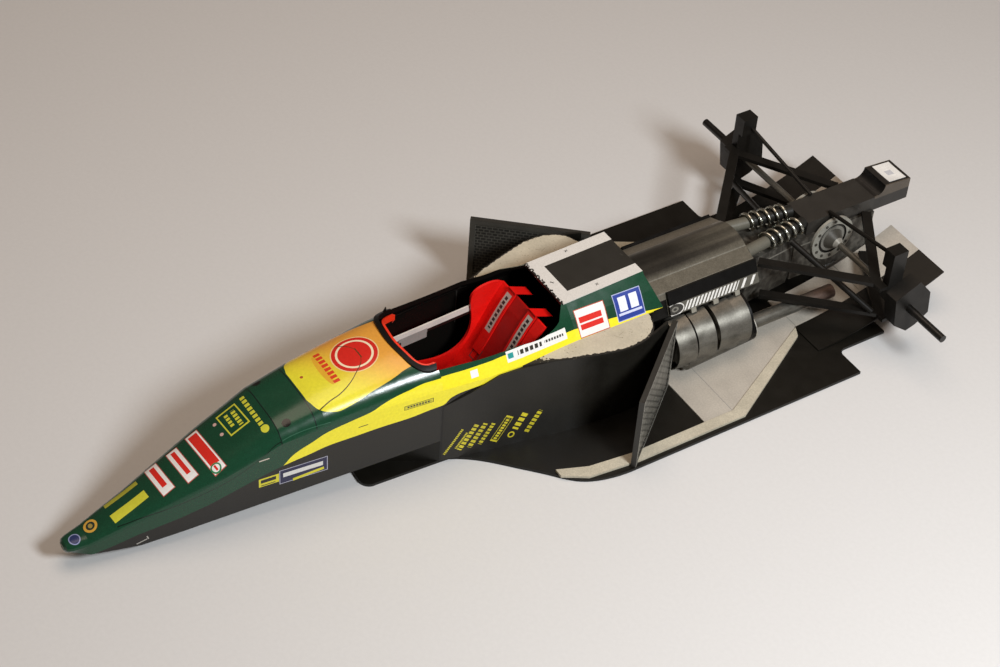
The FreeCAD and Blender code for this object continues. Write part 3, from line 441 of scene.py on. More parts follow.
@dataclass(frozen=True)
class LiveryPrint:
    """Glossy inkjet print on the nose and tub: green over black with yellow flashes.

    The ink lies on coated card, so the green is deep with a fine grain, and a soft highlight
    runs along the shoulder of the cowl.
    """

    name: str = "inkjet_printed_card_green_yellow_black"
    flash_top: Edge = Edge(((38.3, 11.5), (40.5, 13.7), (43.6, 15.2), (46.7, 16.6), (50.4, 17.4),
                            (54.5, 18.2), (56.5, 18.95), (58.8, 19.6), (62.0, 20.15), (65.5, 20.55),
                            (68.3, 20.55), (73.8, 20.4), (77.8, 20.4), (80.9, 20.55), (84.0, 20.5),
                            (88.0, 20.35), (94.5, 19.85), (99.3, 19.55), (104.6, 19.3),
                            (107.8, 18.95), (111.2, 18.5), (114.9, 18.1)))
    black_top: Edge = Edge(((0.0, 1.6), (9.1, 3.6), (11.8, 4.3), (14.4, 4.8), (17.0, 5.3),
                            (19.6, 5.8), (22.3, 6.5), (25.0, 7.2), (27.7, 8.2), (30.4, 9.1),
                            (33.1, 10.0), (38.6, 11.5), (43.1, 12.35), (46.8, 13.1), (51.7, 13.4),
                            (56.6, 13.7), (61.9, 13.85), (65.7, 14.35), (68.2, 14.6), (69.5, 15.75),
                            (71.4, 16.35), (73.3, 16.55), (75.2, 16.7), (77.2, 17.0), (79.2, 17.4),
                            (83.2, 17.8), (88.0, 17.9), (114.9, 17.9)))
    panel_side: Edge = Edge(((44.5, 0.0), (44.52, 1.6), (44.65, 3.4), (44.93, 4.5), (45.85, 6.4),
                             (47.6, 7.35), (49.9, 7.75), (52.9, 7.7), (55.0, 7.52), (57.0, 7.4),
                             (60.2, 7.1), (61.9, 6.8), (66.0, 6.4)))
    hatch: Edge = Edge(((44.8, 7.1), (45.84, 6.88), (48.1, 6.35), (50.2, 6.05), (52.7, 5.08),
                        (54.9, 3.55), (56.1, 2.6), (56.85, 1.5), (57.15, 0.6), (57.2, 0.0)))
    fold: Edge = Edge(((8.4, 7.1), (14.2, 8.3), (19.6, 9.3), (26.0, 11.0), (30.3, 12.8),
                       (34.3, 15.1), (38.2, 17.5), (41.4, 18.2), (45.0, 18.5), (49.6, 18.55),
                       (54.2, 18.3), (59.8, 18.3), (65.5, 18.5)))
    seams: tuple[Pair, ...] = ((37.95, 16.6), (44.4, 17.9))
    label_rim: float = 0.13
    label_depth: float = 3.5
    nose_end: float = 37.9
    flash_start: float = 38.3
    panel: Pair = (44.7, 66.0)
    panel_low_z: float = 18.5
    panel_turn: Pair = (46.0, 60.0)
    side_seam: Pair = (67.8, 68.2)
    side_seam_top: float = 14.4
    inner_start: float = 52.0
    core_z: float = 12.0

    def nose_marks(self) -> tuple[Mark, ...]:
        """Marks on the nose: roundels, a pair of bars, three labels and a frame.

        Returns:
            The marks, the lowest first.
        """
        disc = Outline.DISC
        marks = [Mark(place, half, ink, NOSE_RISE, outline=disc) for place, half, ink in (
            ((0.6, 2.05, 5.8), (1.0, 1.1), "#8d93b8"),
            ((0.6, 2.05, 5.8), (0.82, 0.9), "#27305a"),
            ((-0.1, 5.35, 6.6), (1.25, 1.35), "#cfa040"),
            ((-0.1, 5.35, 6.6), (0.8, 0.88), "#26332c"),
            ((-0.1, 5.35, 6.6), (0.4, 0.5), "#a08a44"))]
        marks += [
            Mark((1.2, 12.1, 9.1), (3.55, 0.9), NOSE_YELLOW, NOSE_RISE),
            Mark((-2.1, 12.0, 8.9), (3.4, 0.5), "#a4a034", NOSE_RISE)]
        marks += [Mark(place, half, "#a7a39c", NOSE_SIDE_RUN, UPWARD, both_sides=True)
                  for place, half in (((3.9, 12.8, 2.5), (1.0, 0.11)),
                                      ((4.05, 13.85, 3.1), (0.11, 0.4)))]
        for x, s, z, half_length, half_width, core in ((-0.1, 18.5, 11.1, 1.3, 3.5, 0.5),
                                                       (0.2, 22.7, 12.7, 1.2, 3.9, 0.42),
                                                       (0.6, 26.9, 14.2, 1.32, 5.0, 0.9)):
            inner = (half_length - self.label_rim, half_width - self.label_rim)
            for place, half, ink in (((x, s, z), (half_length, half_width), "#b5534a"),
                                     ((x, s, z), inner, WHITE),
                                     ((x - 0.4, s, z), (core, half_width - 1.0), RED)):
                marks.append(Mark(place, half, ink, NOSE_RISE, depth=self.label_depth))
        marks += [
            Mark((4.75, 26.9, 14.0), (1.0, 0.85), "#2c7a4e", NOSE_RISE, outline=disc, hole=0.72,
                 depth=self.label_depth),
            Mark((4.75, 26.9, 14.0), (0.2, 0.45), RED, NOSE_RISE, depth=self.label_depth),
            Mark((-1.3, 33.1, 17.5), (2.05, 2.75), NOSE_YELLOW, NOSE_RISE, hole=0.88)]
        marks += [Mark(place, half, NOSE_YELLOW, LEFTWARD, NOSE_RISE, depth=depth, dash=dash)
                  for place, half, depth, dash in (((-1.2, 33.8, 17.8), (1.9, 0.42), 2.0, 0.8),
                                                   ((-1.4, 32.5, 17.3), (1.6, 0.36), 2.0, 0.8),
                                                   ((-0.4, 36.35, 18.6), (4.2, 0.45), 3.0, 1.0))]
        marks += [Mark(place, (radius, radius), ink, NOSE_RISE, outline=disc)
                  for place, radius, ink in (((4.3, 36.4, 18.7), 0.75, NOSE_YELLOW),
                                             ((-2.7, 30.3, 16.4), 0.35, "#c9a59c"),
                                             ((0.0, 30.3, 16.45), 0.35, "#c9a59c"))]
        marks.append(Mark((5.5, 39.8, 19.5), (0.8, 0.75), "#050504", (-0.12, 0.94, 0.32),
                          (0.91, 0.23, -0.35), disc, both_sides=True))
        return tuple(marks)

    def side_marks(self) -> tuple[Mark, ...]:
        """Marks on the nose's sides, the cowl and the tub's flanks.

        Returns:
            The marks, the lowest first.
        """
        disc = Outline.DISC
        sheets = (
            (SIDE_RUN, UPWARD, (
                ((6.9, 35.6, 8.7), (2.0, 1.18), "#1f1d1b"),
                ((6.9, 35.6, 8.7), (1.86, 1.04), "#d0c62e"),
                ((6.9, 35.5, 8.95), (1.4, 0.42), "#1f1d1b"),
                ((6.9, 35.5, 7.95), (1.3, 0.1), "#1f1d1b"),
                ((7.6, 42.0, 8.7), (4.5, 1.75), "#a9a8b8"),
                ((7.6, 42.0, 8.7), (4.36, 1.6), "#232443"),
                ((7.6, 41.9, 9.0), (3.7, 0.5), "#d3d1cd"))),
            ((0.11, 1.0, 0.12), UPWARD, (((7.8, 42.9, 7.45), (2.9, 0.32), "#cfc52c"),)),
            (SIDE_RUN, UPWARD, (
                ((7.1, 34.7, 14.4), (0.95, 0.13), "#c9bcae"),
                ((8.9, 53.0, 15.35), (0.9, 0.1), "#4a4526"),
                ((10.0, 63.5, 16.6), (2.8, 0.5), "#3b3816"),
                ((10.0, 63.5, 16.6), (2.68, 0.38), "#cfc42c"))),
            (FLANK_RUN, (0.49, 0.0, -0.87), (((10.4, 74.4, 19.3), (0.72, 0.7), "#e9e4ea"),)),
            ((-0.04, 1.0, -0.02), (0.54, 0.01, -0.84), (
                ((10.1, 87.6, 20.0), (6.5, 1.05), WHITE),)),
            (FLANK_RUN, FLANK_FALL, (
                ((10.2, 81.95, 20.1), (0.55, 0.5), "#2f8f8c"),
                ((9.3, 100.0, 20.2), (3.2, 2.65), "#b54a33"),
                ((9.3, 100.0, 20.2), (3.05, 2.5), WHITE),
                ((9.0, 99.8, 20.7), (2.4, 0.55), RED),
                ((9.8, 99.8, 19.6), (2.4, 0.5), RED),
                ((9.3, 108.1, 20.4), (3.0, 2.62), "#a9afd0"),
                ((9.3, 108.1, 20.4), (2.85, 2.46), NAVY),
                ((9.0, 106.9, 20.8), (0.85, 1.35), "#dfe2ee"),
                ((9.0, 109.3, 20.8), (0.85, 1.35), "#dfe2ee"),
                ((9.95, 108.1, 19.2), (2.5, 0.22), "#c6cbe4"))))
        marks = [Mark(place, half, ink, run, fall, both_sides=True)
                 for run, fall, rows in sheets for place, half, ink in rows]
        for place, half, fall, dash in (((10.0, 63.5, 16.6), (2.3, 0.2), UPWARD, 0.55),
                                        ((10.1, 86.0, 20.0), (2.6, 0.42), FLANK_FALL, 1.05),
                                        ((10.0, 91.3, 20.0), (2.1, 0.24), FLANK_FALL, 0.6)):
            marks.append(Mark(place, half, "#35332c", FLANK_RUN, fall, both_sides=True, dash=dash))
        for radius, ink in ((4.3, "#e3c98f"), (4.1, "#c8261c"), (3.4, "#ead9b8"), (3.0, "#cc251b")):
            marks.append(Mark((-0.7, 56.5, 22.9), (radius, radius), ink, COWL_RISE, outline=disc))
        marks += [
            Mark((-0.6, 50.2, 21.9), (3.9, 0.75), "#d9a62f", LEFTWARD, COWL_RISE, disc),
            Mark((-0.6, 51.0, 22.0), (4.2, 0.6), "#cf3f1f", LEFTWARD, COWL_RISE, dash=1.05),
            Mark((-1.3, 46.4, 21.4), (0.3, 0.3), "#a8542c", COWL_RISE, outline=disc)]
        return tuple(marks)

    def build(self) -> Material:
        """Makes the material.

        Returns:
            The finished material.
        """
        canvas = Canvas(self.name, GREEN)
        canvas.grain(0.2, 0.2)
        side = canvas.both(canvas.under(canvas.z, self.flash_top),
                           canvas.mask(canvas.s, self.flash_start))
        canvas.cover(side, YELLOW)
        canvas.cover(canvas.under(canvas.z, self.black_top), BLACK)
        self.cowl_panel(canvas)
        for station, low_end in self.seams:
            seam = canvas.mask(canvas.s, station - 0.1, station + 0.1)
            canvas.cover(canvas.both(seam, canvas.mask(canvas.z, low_end)), "#0b1f19")
        # Painted shade: a dark line along the nose's fold between top and side. Painted highlight:
        # a pale line along the fold behind the nose.
        folded = canvas.add(MATH, MINUS, {0: canvas.z, 1: canvas.line(self.fold)})
        for half, start, end, share, ink in ((0.08, 9.0, self.nose_end, 1.0, "#071c12"),
                                             (0.06, 38.1, 47.0, 0.4, "#4f7a66")):
            canvas.cover(canvas.both(canvas.mask(folded, -half, half),
                                     canvas.mask(canvas.s, start, end), share), ink)
        canvas.cover(canvas.both(canvas.mask(canvas.s, *self.side_seam),
                                 canvas.mask(canvas.z, high=self.side_seam_top)), "#0a0908")
        canvas.print_marks(self.nose_marks() + self.side_marks())
        self.inner_faces(canvas)
        self.hatch_line(canvas)
        canvas.grain(0.5, 0.05)
        canvas.fibre(0.3, 0.005)
        return canvas.finish(0.22)

    def cowl_panel(self, canvas: Canvas) -> None:
        """Prints the yellow panel on the cowl, which turns orange towards the cockpit.

        Args:
            canvas: Canvas that takes the nodes.
        """
        top = canvas.both(canvas.under(canvas.width, self.panel_side),
                          canvas.mask(canvas.s, *self.panel),
                          canvas.mask(canvas.z, self.panel_low_z))
        slant = canvas.add(MATH, TIMES_PLUS, {0: canvas.x, 1: -0.75, 2: canvas.s})
        turn = canvas.add(RANGE, {"interpolation_type": "SMOOTHSTEP"},
                          {"Value": slant, 1: self.panel_turn[0], 2: self.panel_turn[1]})
        blend = canvas.add("ShaderNodeMix", {"data_type": "RGBA"},
                           {0: turn, 6: linear("#dfd534"), 7: linear(ORANGE)}, 2)
        canvas.cover(top, blend)

    def hatch_line(self, canvas: Canvas) -> None:
        """Draws the thin outline of the hatch across the cowl and its roundel.

        Args:
            canvas: Canvas that takes the nodes.
        """
        shifted = canvas.add(MATH, SIZE, {0: canvas.add(MATH, PLUS, {0: canvas.x, 1: 0.5})})
        beside = canvas.add(MATH, MINUS, {0: shifted, 1: canvas.line(self.hatch)})
        drawn = canvas.both(canvas.mask(beside, -0.1, 0.1), canvas.mask(canvas.s, 45.7, 57.25),
                            canvas.mask(canvas.x, -4.3), canvas.mask(canvas.z, self.panel_low_z))
        canvas.cover(drawn, "#3f3517")
        canvas.print_marks((Mark((-0.5, 57.1, 23.1), (0.1, 1.3), "#3f3517", COWL_RISE),))

    def inner_faces(self, canvas: Canvas) -> None:
        """Blackens the faces that look into the cockpit.

        Args:
            canvas: Canvas that takes the nodes.
        """
        outward = canvas.add(VECTOR, TIMES_PLUS,
                             {0: canvas.place, 1: (1.0, 0.0, 1.0), 2: (0.0, 0.0, -self.core_z)})
        facing = canvas.add(VECTOR, ALONG, {0: outward, 1: canvas.normal}, "Value")
        lines = (Mark((9.3, 76.0, 18.7), (9.7, 0.1), "#3c3a37", across=UPWARD, both_sides=True),
                 Mark((9.5, 84.0, 15.0), (0.1, 5.0), "#34322f", across=UPWARD, both_sides=True))
        lined = canvas.other_sheet("#100e0c", lines)
        inner = canvas.both(canvas.mask(facing, high=0.0), canvas.mask(canvas.s, self.inner_start))
        canvas.cover(inner, lined)
        canvas.dull = inner


@dataclass(frozen=True)
class DeckPrint:
    """Deck behind the cockpit: white glue border round a black field, cut ragged in front."""

    name: str = "inkjet_printed_card_deck"
    field_half_width: float = 3.85
    field_start: float = 97.95
    ragged_front: float = 95.5
    tear_size: float = 0.5
    tear_depth: float = 1.9
    tear_mean: float = 0.9

    def build(self) -> Material:
        """Makes the material.

        Returns:
            The finished material.
        """
        canvas = Canvas(self.name, "#d2cec8")
        canvas.cover(canvas.both(canvas.mask(canvas.width, high=self.field_half_width),
                                 canvas.mask(canvas.s, self.field_start)), "#262420")
        canvas.print_marks(tuple(
            Mark(place, (0.38, 0.07), "#3c3a36", (*run, 0.0)) for place, runs in (
                ((-5.4, 103.7, 23.9), ((0.5, 0.8), (-0.6, 0.7))),
                ((0.5, 96.8, 23.6), ((0.9, 0.3), (0.3, 0.9))),
                ((5.0, 103.6, 23.9), ((0.6, 0.8), (-0.7, 0.6))),
                ((0.6, 112.0, 23.9), ((0.9, 0.2),))) for run in runs))
        ragged = canvas.add(MATH, TIMES_PLUS,
                            {0: canvas.noise(self.tear_size), 1: -self.tear_depth, 2: canvas.s})
        canvas.cover(canvas.mask(ragged, high=self.ragged_front - self.tear_mean), "#211e1b")
        canvas.grain(0.25, 0.08)
        canvas.fibre(0.3, 0.01)
        return canvas.finish(0.45, specular=0.35)


@dataclass(frozen=True)
class TankWallPrint:
    """Black printed side wall with rows of plain yellow blocks on it."""

    name: str = "inkjet_printed_card_black_wall"
    rows: tuple[tuple[float, float, float, float, float], ...] = (
        (10.9, 70.5, 4.7, 3.2, 0.24), (11.2, 72.0, 4.6, 2.0, 0.2), (11.6, 73.2, 5.0, 3.1, 0.5),
        (11.9, 75.0, 4.9, 2.9, 0.5), (12.2, 76.8, 4.7, 2.5, 0.42), (12.8, 79.7, 4.9, 2.5, 0.36),
        (13.3, 83.3, 5.6, 1.9, 0.65), (13.7, 85.9, 4.8, 2.6, 0.5))
    rise: Triple = (0.09, 0.52, 0.85)
    side: Triple = (0.16, 0.83, -0.54)
    pitch_share: float = 1.7
    # Station where the painted shade at the wall's front ends.
    start: float = 68.35
    ink: str = "#c3b62b"

    def build(self) -> Material:
        """Makes the material.

        Returns:
            The finished material.
        """
        canvas = Canvas(self.name, "#1c1a16")
        marks = [Mark((x, s, z), (length, half), self.ink, self.rise, self.side, both_sides=True,
                      dash=self.pitch_share * half) for x, s, z, length, half in self.rows]
        marks.append(Mark((12.8, 79.7, 4.9), (3.0, 0.8), self.ink, self.rise, self.side, hole=0.87,
                          both_sides=True))
        marks.append(Mark((13.1, 81.6, 2.9), (0.7, 0.7), self.ink, self.rise, self.side,
                          Outline.DISC, 0.6, True))
        canvas.print_marks(tuple(marks))
        # Painted shade: the wall ahead of the side seam, recessed under the tub, is printed near
        # black.
        canvas.cover(canvas.mask(canvas.s, high=self.start), "#0a0908")
        canvas.grain(0.3, 0.14)
        canvas.grain(5.0, 0.2)
        canvas.fibre(0.35, 0.01)
        return canvas.finish(0.34, specular=0.4)


@dataclass(frozen=True)
class RawCard:
    """Unprinted cream card with ragged dark bits of black paper left along its outer edge."""

    name: str = "raw_cream_card"
    ink: str = "#b9b09c"
    tear_size: float = 0.9
    tear_depth: float = 1.1
    front_tear: Pair = (1.1, 14.0)
    front: float = 95.4
    outer: Edge = Edge(((79.0, 11.6), (84.0, 12.15), (87.8, 12.6), (91.1, 13.75), (93.3, 14.45),
                        (96.0, 15.25), (98.8, 16.05), (101.4, 16.65), (103.8, 16.85),
                        (105.9, 16.75), (107.9, 16.15), (109.5, 15.15), (110.7, 13.65),
                        (111.4, 12.3), (112.8, 11.8)))

    def build(self) -> Material:
        """Makes the material.

        Returns:
            The finished material.
        """
        canvas = Canvas(self.name, self.ink)
        torn = canvas.noise(self.tear_size, ROUGH_DETAIL)
        reach = canvas.add(MATH, TIMES_PLUS, {0: torn, 1: self.tear_depth, 2: canvas.width})
        margin = canvas.add(MATH, MINUS, {0: reach, 1: canvas.line(self.outer)})
        canvas.cover(canvas.mask(margin, 0.4), "#26221d")
        size, depth = self.front_tear
        front = canvas.add(MATH, TIMES_PLUS,
                           {0: canvas.noise(size, ROUGH_DETAIL), 1: depth, 2: canvas.s})
        canvas.cover(canvas.mask(front, high=self.front), "#2b2721")
        canvas.cover(canvas.both(canvas.mask(canvas.noise(0.35, ROUGH_DETAIL), 0.66),
                                 canvas.mask(canvas.noise(2.4), 0.52)), "#8d8370")
        canvas.print_marks(tuple(
            Mark((x, s, 18.1), (0.7, 0.05), "#9b917f", (*run, 0.0))
            for x, s, run in ((-13.5, 103.6, (0.5, 0.8)), (-13.2, 104.3, (-0.4, 0.9)),
                              (13.6, 103.0, (0.8, 0.6)), (13.2, 104.0, (-0.3, 0.9)))))
        canvas.grain(0.4, 0.07)
        canvas.grain(5.0, 0.1)
        canvas.fibre(0.3, 0.02)
        return canvas.finish(0.75, specular=0.3)


@dataclass(frozen=True)
class RadiatorPrint:
    """Grey print of a cooling core: brick-like cells in front, fine ribs behind, in a frame."""

    name: str = "inkjet_printed_card_radiator"
    foot: Pair = (29.2, 98.2)
    run: Pair = (-0.6394, 0.7689)
    length: float = 23.15
    height: float = 16.9
    frame_width: float = 1.1
    rear_frame_width: float = 0.3
    edge_width: float = 0.04

    def build(self) -> Material:
        """Makes the material.

        Returns:
            The finished material.
        """
        canvas = Canvas(self.name, "#47443e")
        along = canvas.add(VECTOR, ALONG, {0: canvas.either_side, 1: (*self.run, 0.0)}, "Value")
        start = self.foot[0] * self.run[0] + self.foot[1] * self.run[1]
        reach = canvas.add(MATH, MINUS, {0: along, 1: start})
        cell = canvas.add("ShaderNodeCombineXYZ", None, {0: reach, 1: canvas.z})
        cells = self.bricks(canvas, cell, ("#33302c", "#292723", "#56534c"), (1.1, 0.7, 0.11))
        ribs = self.bricks(canvas, cell, ("#8d8a80", "#6a6760", "#312f2b"), (1.6, 0.75, 0.2))
        turn = add_node(canvas.tree, PARTS, None, {0: canvas.normal}).outputs[1]
        behind = canvas.mask(turn, 0.1)
        canvas.cover(self.inside(canvas, reach, self.frame_width), cells)
        canvas.cover(behind, "#96938a")
        canvas.cover(canvas.mask(reach, high=self.edge_width), "#2c2a26")
        canvas.cover(canvas.mask(canvas.z, self.height - self.edge_width), "#2c2a26")
        canvas.cover(canvas.both(self.inside(canvas, reach, self.rear_frame_width), behind), ribs)
        canvas.grain(0.25, 0.12)
        canvas.grain(4.0, 0.12)
        canvas.fibre(0.3, 0.012)
        return canvas.finish(0.45, metallic=0.1)

    def inside(self, canvas: Canvas, reach: Socket, edge: float) -> Socket:
        """Mask of the core inside its frame.

        Args:
            canvas: Canvas that takes the nodes.
            reach: Place along the panel in millimetres.
            edge: Width of the frame in millimetres.

        Returns:
            Socket from 0 to 1.
        """
        return canvas.both(canvas.mask(reach, edge, self.length - edge),
                           canvas.mask(canvas.z, FLOOR_TOP + edge, self.height - edge))

    def bricks(self, canvas: Canvas, cell: Socket, inks: tuple[str, str, str],
               sizes: Triple) -> Socket:
        """Rows of printed cells.

        Args:
            canvas: Canvas that takes the nodes.
            cell: Place on the panel in millimetres.
            inks: Inks of the lighter cells, the darker cells and the joints.
            sizes: Width of a cell, height of a row and width of a joint in millimetres.

        Returns:
            The pattern's colour.
        """
        light, dark, joint = [linear(ink) for ink in inks]
        width, height, gap = sizes
        return canvas.add("ShaderNodeTexBrick", None,
                          {"Vector": cell, "Color1": light, "Color2": dark, "Mortar": joint,
                           "Scale": 1.0, "Mortar Size": gap, "Mortar Smooth": 0.3,
                           "Brick Width": width, "Row Height": height})


@dataclass(frozen=True)
class CamCoverPrint:
    """Slope of the engine's head: black band above a silver one with pale slanting stripes."""

    name: str = "inkjet_printed_card_cam_cover"
    band_split_z: float = 14.95
    stripes: Pair = (122.0, 134.2)
    bars: tuple[float, ...] = (135.6, 137.7)
    stripe_pitch: float = 0.86
    stripe_lean: float = 0.75
    stripe_foot_z: float = 13.3
    stripe_middle_z: float = 14.1
    bar_half_width: float = 0.32
    foot_z: float = 13.1
    tabs: tuple[float, ...] = (123.4, 128.55, 133.57)
    roundel: Triple = (9.03, 119.5, 14.0)
    rings: tuple[tuple[Pair, str, float], ...] = (
        ((2.1, 1.2), "#d2cfc9", 0.0), ((1.85, 0.98), "#3b3935", 0.0), ((0.8, 0.5), "#77746c", 0.5))
    fall: Triple = (0.45, 0.0, -0.9)

    def build(self) -> Material:
        """Makes the material.

        Returns:
            The finished material.
        """
        canvas = Canvas(self.name, "#5b5850")
        slant = canvas.add(MATH, TIMES_PLUS,
                           {0: canvas.z, 1: -self.stripe_lean, 2: canvas.s})
        share = canvas.add(MATH, OVER, {0: slant, 1: self.stripe_pitch})
        wave = canvas.add(MATH, FRACTION, {0: share})
        lead = self.stripe_lean * self.stripe_middle_z
        start, end = [station - lead for station in self.stripes]
        silver = canvas.mask(canvas.z, self.stripe_foot_z, self.band_split_z - 0.2)
        striped = canvas.both(silver, canvas.mask(wave, 0.45), canvas.mask(slant, start, end))
        canvas.cover(striped, "#dedcd7")
        for station in self.bars:
            bar = canvas.mask(slant, station - lead - self.bar_half_width,
                              station - lead + self.bar_half_width)
            canvas.cover(canvas.both(silver, bar), "#dedcd7")
        canvas.print_marks(tuple(
            Mark(self.roundel, half, ink, across=self.fall, outline=Outline.DISC, hole=hole,
                 both_sides=True) for half, ink, hole in self.rings))
        canvas.cover(canvas.mask(canvas.z, self.band_split_z), "#0b0a09")
        canvas.cover(canvas.mask(canvas.z, high=self.foot_z), "#1d1b18")
        canvas.print_marks(tuple(
            Mark((9.8, station, 12.75), (0.7, 0.5), "#8a867b", across=self.fall, both_sides=True)
            for station in self.tabs))
        canvas.grain(0.25, 0.12)
        canvas.fibre(0.3, 0.01)
        return canvas.finish(0.36, metallic=0.1, specular=0.2)


@dataclass(frozen=True)
class EnginePrint:
    """Dark silver print of cast metal, streaked along the car, with pale fold lines; painted shade
    darkens the top's middle towards the front and the block's side below the tub's rear corner, and
    a painted highlight lightens the far slope.
    """

    name: str = "inkjet_printed_card_engine"
    ink: str = "#6f6a5e"
    fold_half_widths: tuple[float, ...] = (4.1, 6.9)
    fold_half: float = 0.1
    fold_low_z: float = 16.0
    top_half_width: float = 4.0
    front_shade: Pair = (137.0, 124.0)
    far_slope_highlight: Pair = (-7.2, -3.6)
    foot_z: float = 12.7
    painted_shadow_end: float = 118.3
    painted_shadow_top: float = 15.8

    def build(self) -> Material:
        """Makes the material.

        Returns:
            The finished material.
        """
        canvas = Canvas(self.name, self.ink)
        streak = canvas.mask(canvas.noise(1.6, FINE_DETAIL, (1.0, 0.04, 1.0)), 0.35, soft=0.3)
        centre = canvas.mask(canvas.width, -self.top_half_width, self.top_half_width, 1.2)
        front = canvas.add(RANGE, None, {"Value": canvas.s, 1: self.front_shade[0],
                                         2: self.front_shade[1]})
        # The top's middle is darkened in streaks, partly brushed print and partly painted shade,
        # and more towards the front as painted shade; the lighter far slope is a painted highlight.
        canvas.cover(canvas.both(centre, streak, 0.7), "#2c2925")
        canvas.cover(canvas.both(centre, front, 0.85), "#201e1b")
        canvas.cover(canvas.both(canvas.mask(canvas.x, *self.far_slope_highlight, 1.0), 0.5), "#8a8274")
        for width in self.fold_half_widths:
            fold = canvas.mask(canvas.width, width - self.fold_half, width + self.fold_half)
            canvas.cover(canvas.both(fold, canvas.mask(canvas.z, self.fold_low_z), 0.6), "#8f8c82")
        canvas.cover(canvas.mask(canvas.z, high=self.foot_z), "#23211d")
        # Painted shadow: the block's front side, below the tub's rear corner, is printed near
        # black.
        canvas.cover(canvas.both(canvas.mask(canvas.s, high=self.painted_shadow_end),
                                 canvas.mask(canvas.z, high=self.painted_shadow_top)), "#12110e")
        canvas.grain(0.22, 0.2)
        canvas.grain(0.7, 0.1)
        canvas.fibre(0.3, 0.01)
        return canvas.finish(0.34, metallic=0.5)


@dataclass(frozen=True)
class SilverPipePrint:
    """Silver paper rolled into pipes: soft metal sheen, smudged and browned by heat print; painted
    shade darkens them towards the bottom and fills the collector's open mouth with black.
    """

    name: str = "silver_paper_exhaust"
    ink: str = "#75726a"
    mouth: Pair = (134.3, 137.0)
    mouth_low_z: float = 2.6
    rim_width: float = 0.7
    shade: Pair = (5.5, 1.0)
    heat: Pair = (148.0, 153.0)

    def build(self) -> Material:
        """Makes the material.

        Returns:
            The finished material.
        """
        canvas = Canvas(self.name, self.ink)
        mouth_end = self.mouth[1]
        smudge = canvas.mask(canvas.noise(1.8, FINE_DETAIL, (1.0, 0.5, 1.0)), 0.4, soft=0.26)
        canvas.cover(canvas.both(smudge, 0.6), "#4a4740")
        # Painted shade: the pipes grow darker towards the bottom, ahead of the mouth's end.
        low = canvas.add(RANGE, None, {"Value": canvas.z, 1: self.shade[0], 2: self.shade[1]})
        canvas.cover(canvas.both(low, 0.7, canvas.mask(canvas.s, high=mouth_end)), "#2b2924")
        # Painted shade: the open mouth of the collector is printed black.
        canvas.cover(canvas.both(canvas.mask(canvas.s, *self.mouth),
                                 canvas.mask(canvas.z, self.mouth_low_z)), "#0b0a09")
        canvas.cover(canvas.mask(canvas.s, mouth_end, mouth_end + self.rim_width), "#c9c6bc")
        warm = canvas.add(RANGE, None, {"Value": canvas.s, 1: self.heat[0], 2: self.heat[1]})
        canvas.cover(canvas.both(warm, 0.7), "#6e5348")
        canvas.grain(0.25, 0.14)
        canvas.fibre(0.4, 0.01)
        return canvas.finish(0.4, metallic=0.75)


@dataclass(frozen=True)
class GearboxPrint:
    """Mottled grey print of a casting, with pale ribs and seams."""

    name: str = "inkjet_printed_card_gearbox"
    rib_pitch: float = 3.1
    rib_share: float = 0.08
    rib_top_z: float = 13.5
    seam: Pair = (11.9, 12.2)
    seam_end: float = 156.0

    def build(self) -> Material:
        """Makes the material.

        Returns:
            The finished material.
        """
        canvas = Canvas(self.name, "#35322d")
        patch = canvas.mask(canvas.noise(1.4, ROUGH_DETAIL), 0.44, soft=0.18)
        canvas.cover(canvas.both(patch, 0.6), "#66625a")
        share = canvas.add(MATH, OVER, {0: canvas.s, 1: self.rib_pitch})
        ribs = canvas.mask(canvas.add(MATH, FRACTION, {0: share}), 0.0, self.rib_share)
        canvas.cover(canvas.both(ribs, canvas.mask(canvas.z, high=self.rib_top_z), 0.4), "#5b574f")
        canvas.cover(canvas.both(canvas.mask(canvas.z, *self.seam),
                                 canvas.mask(canvas.s, high=self.seam_end)), "#77736a")
        canvas.grain(0.25, 0.16)
        canvas.fibre(0.3, 0.012)
        return canvas.finish(0.42, metallic=0.2)


@dataclass(frozen=True)
class OutputDiscPrint:
    """Pale grey ring with a dark groove and an inner ring round the silver cone."""

    name: str = "inkjet_printed_card_output_disc"
    axle: Triple = (0.0, *AXLE)
    rings: tuple[tuple[float, str], ...] = ((3.45, "#1c1a17"), (2.9, "#7d7a72"), (2.3, "#4a4740"),
                                            (1.2, "#9a978e"))

    def build(self) -> Material:
        """Makes the material.

        Returns:
            The finished material.
        """
        canvas = Canvas(self.name, "#97948a")
        flat = canvas.add(VECTOR, TIMES, {0: canvas.place, 1: (0.0, 1.0, 1.0)})
        offset = canvas.add(VECTOR, MINUS, {0: flat, 1: self.axle})
        radius = canvas.add(VECTOR, LENGTH, {0: offset}, "Value")
        for reach, ink in self.rings:
            canvas.cover(canvas.mask(radius, high=reach), ink)
        canvas.grain(0.25, 0.14)
        canvas.fibre(0.3, 0.01)
        return canvas.finish(0.45, metallic=0.15)


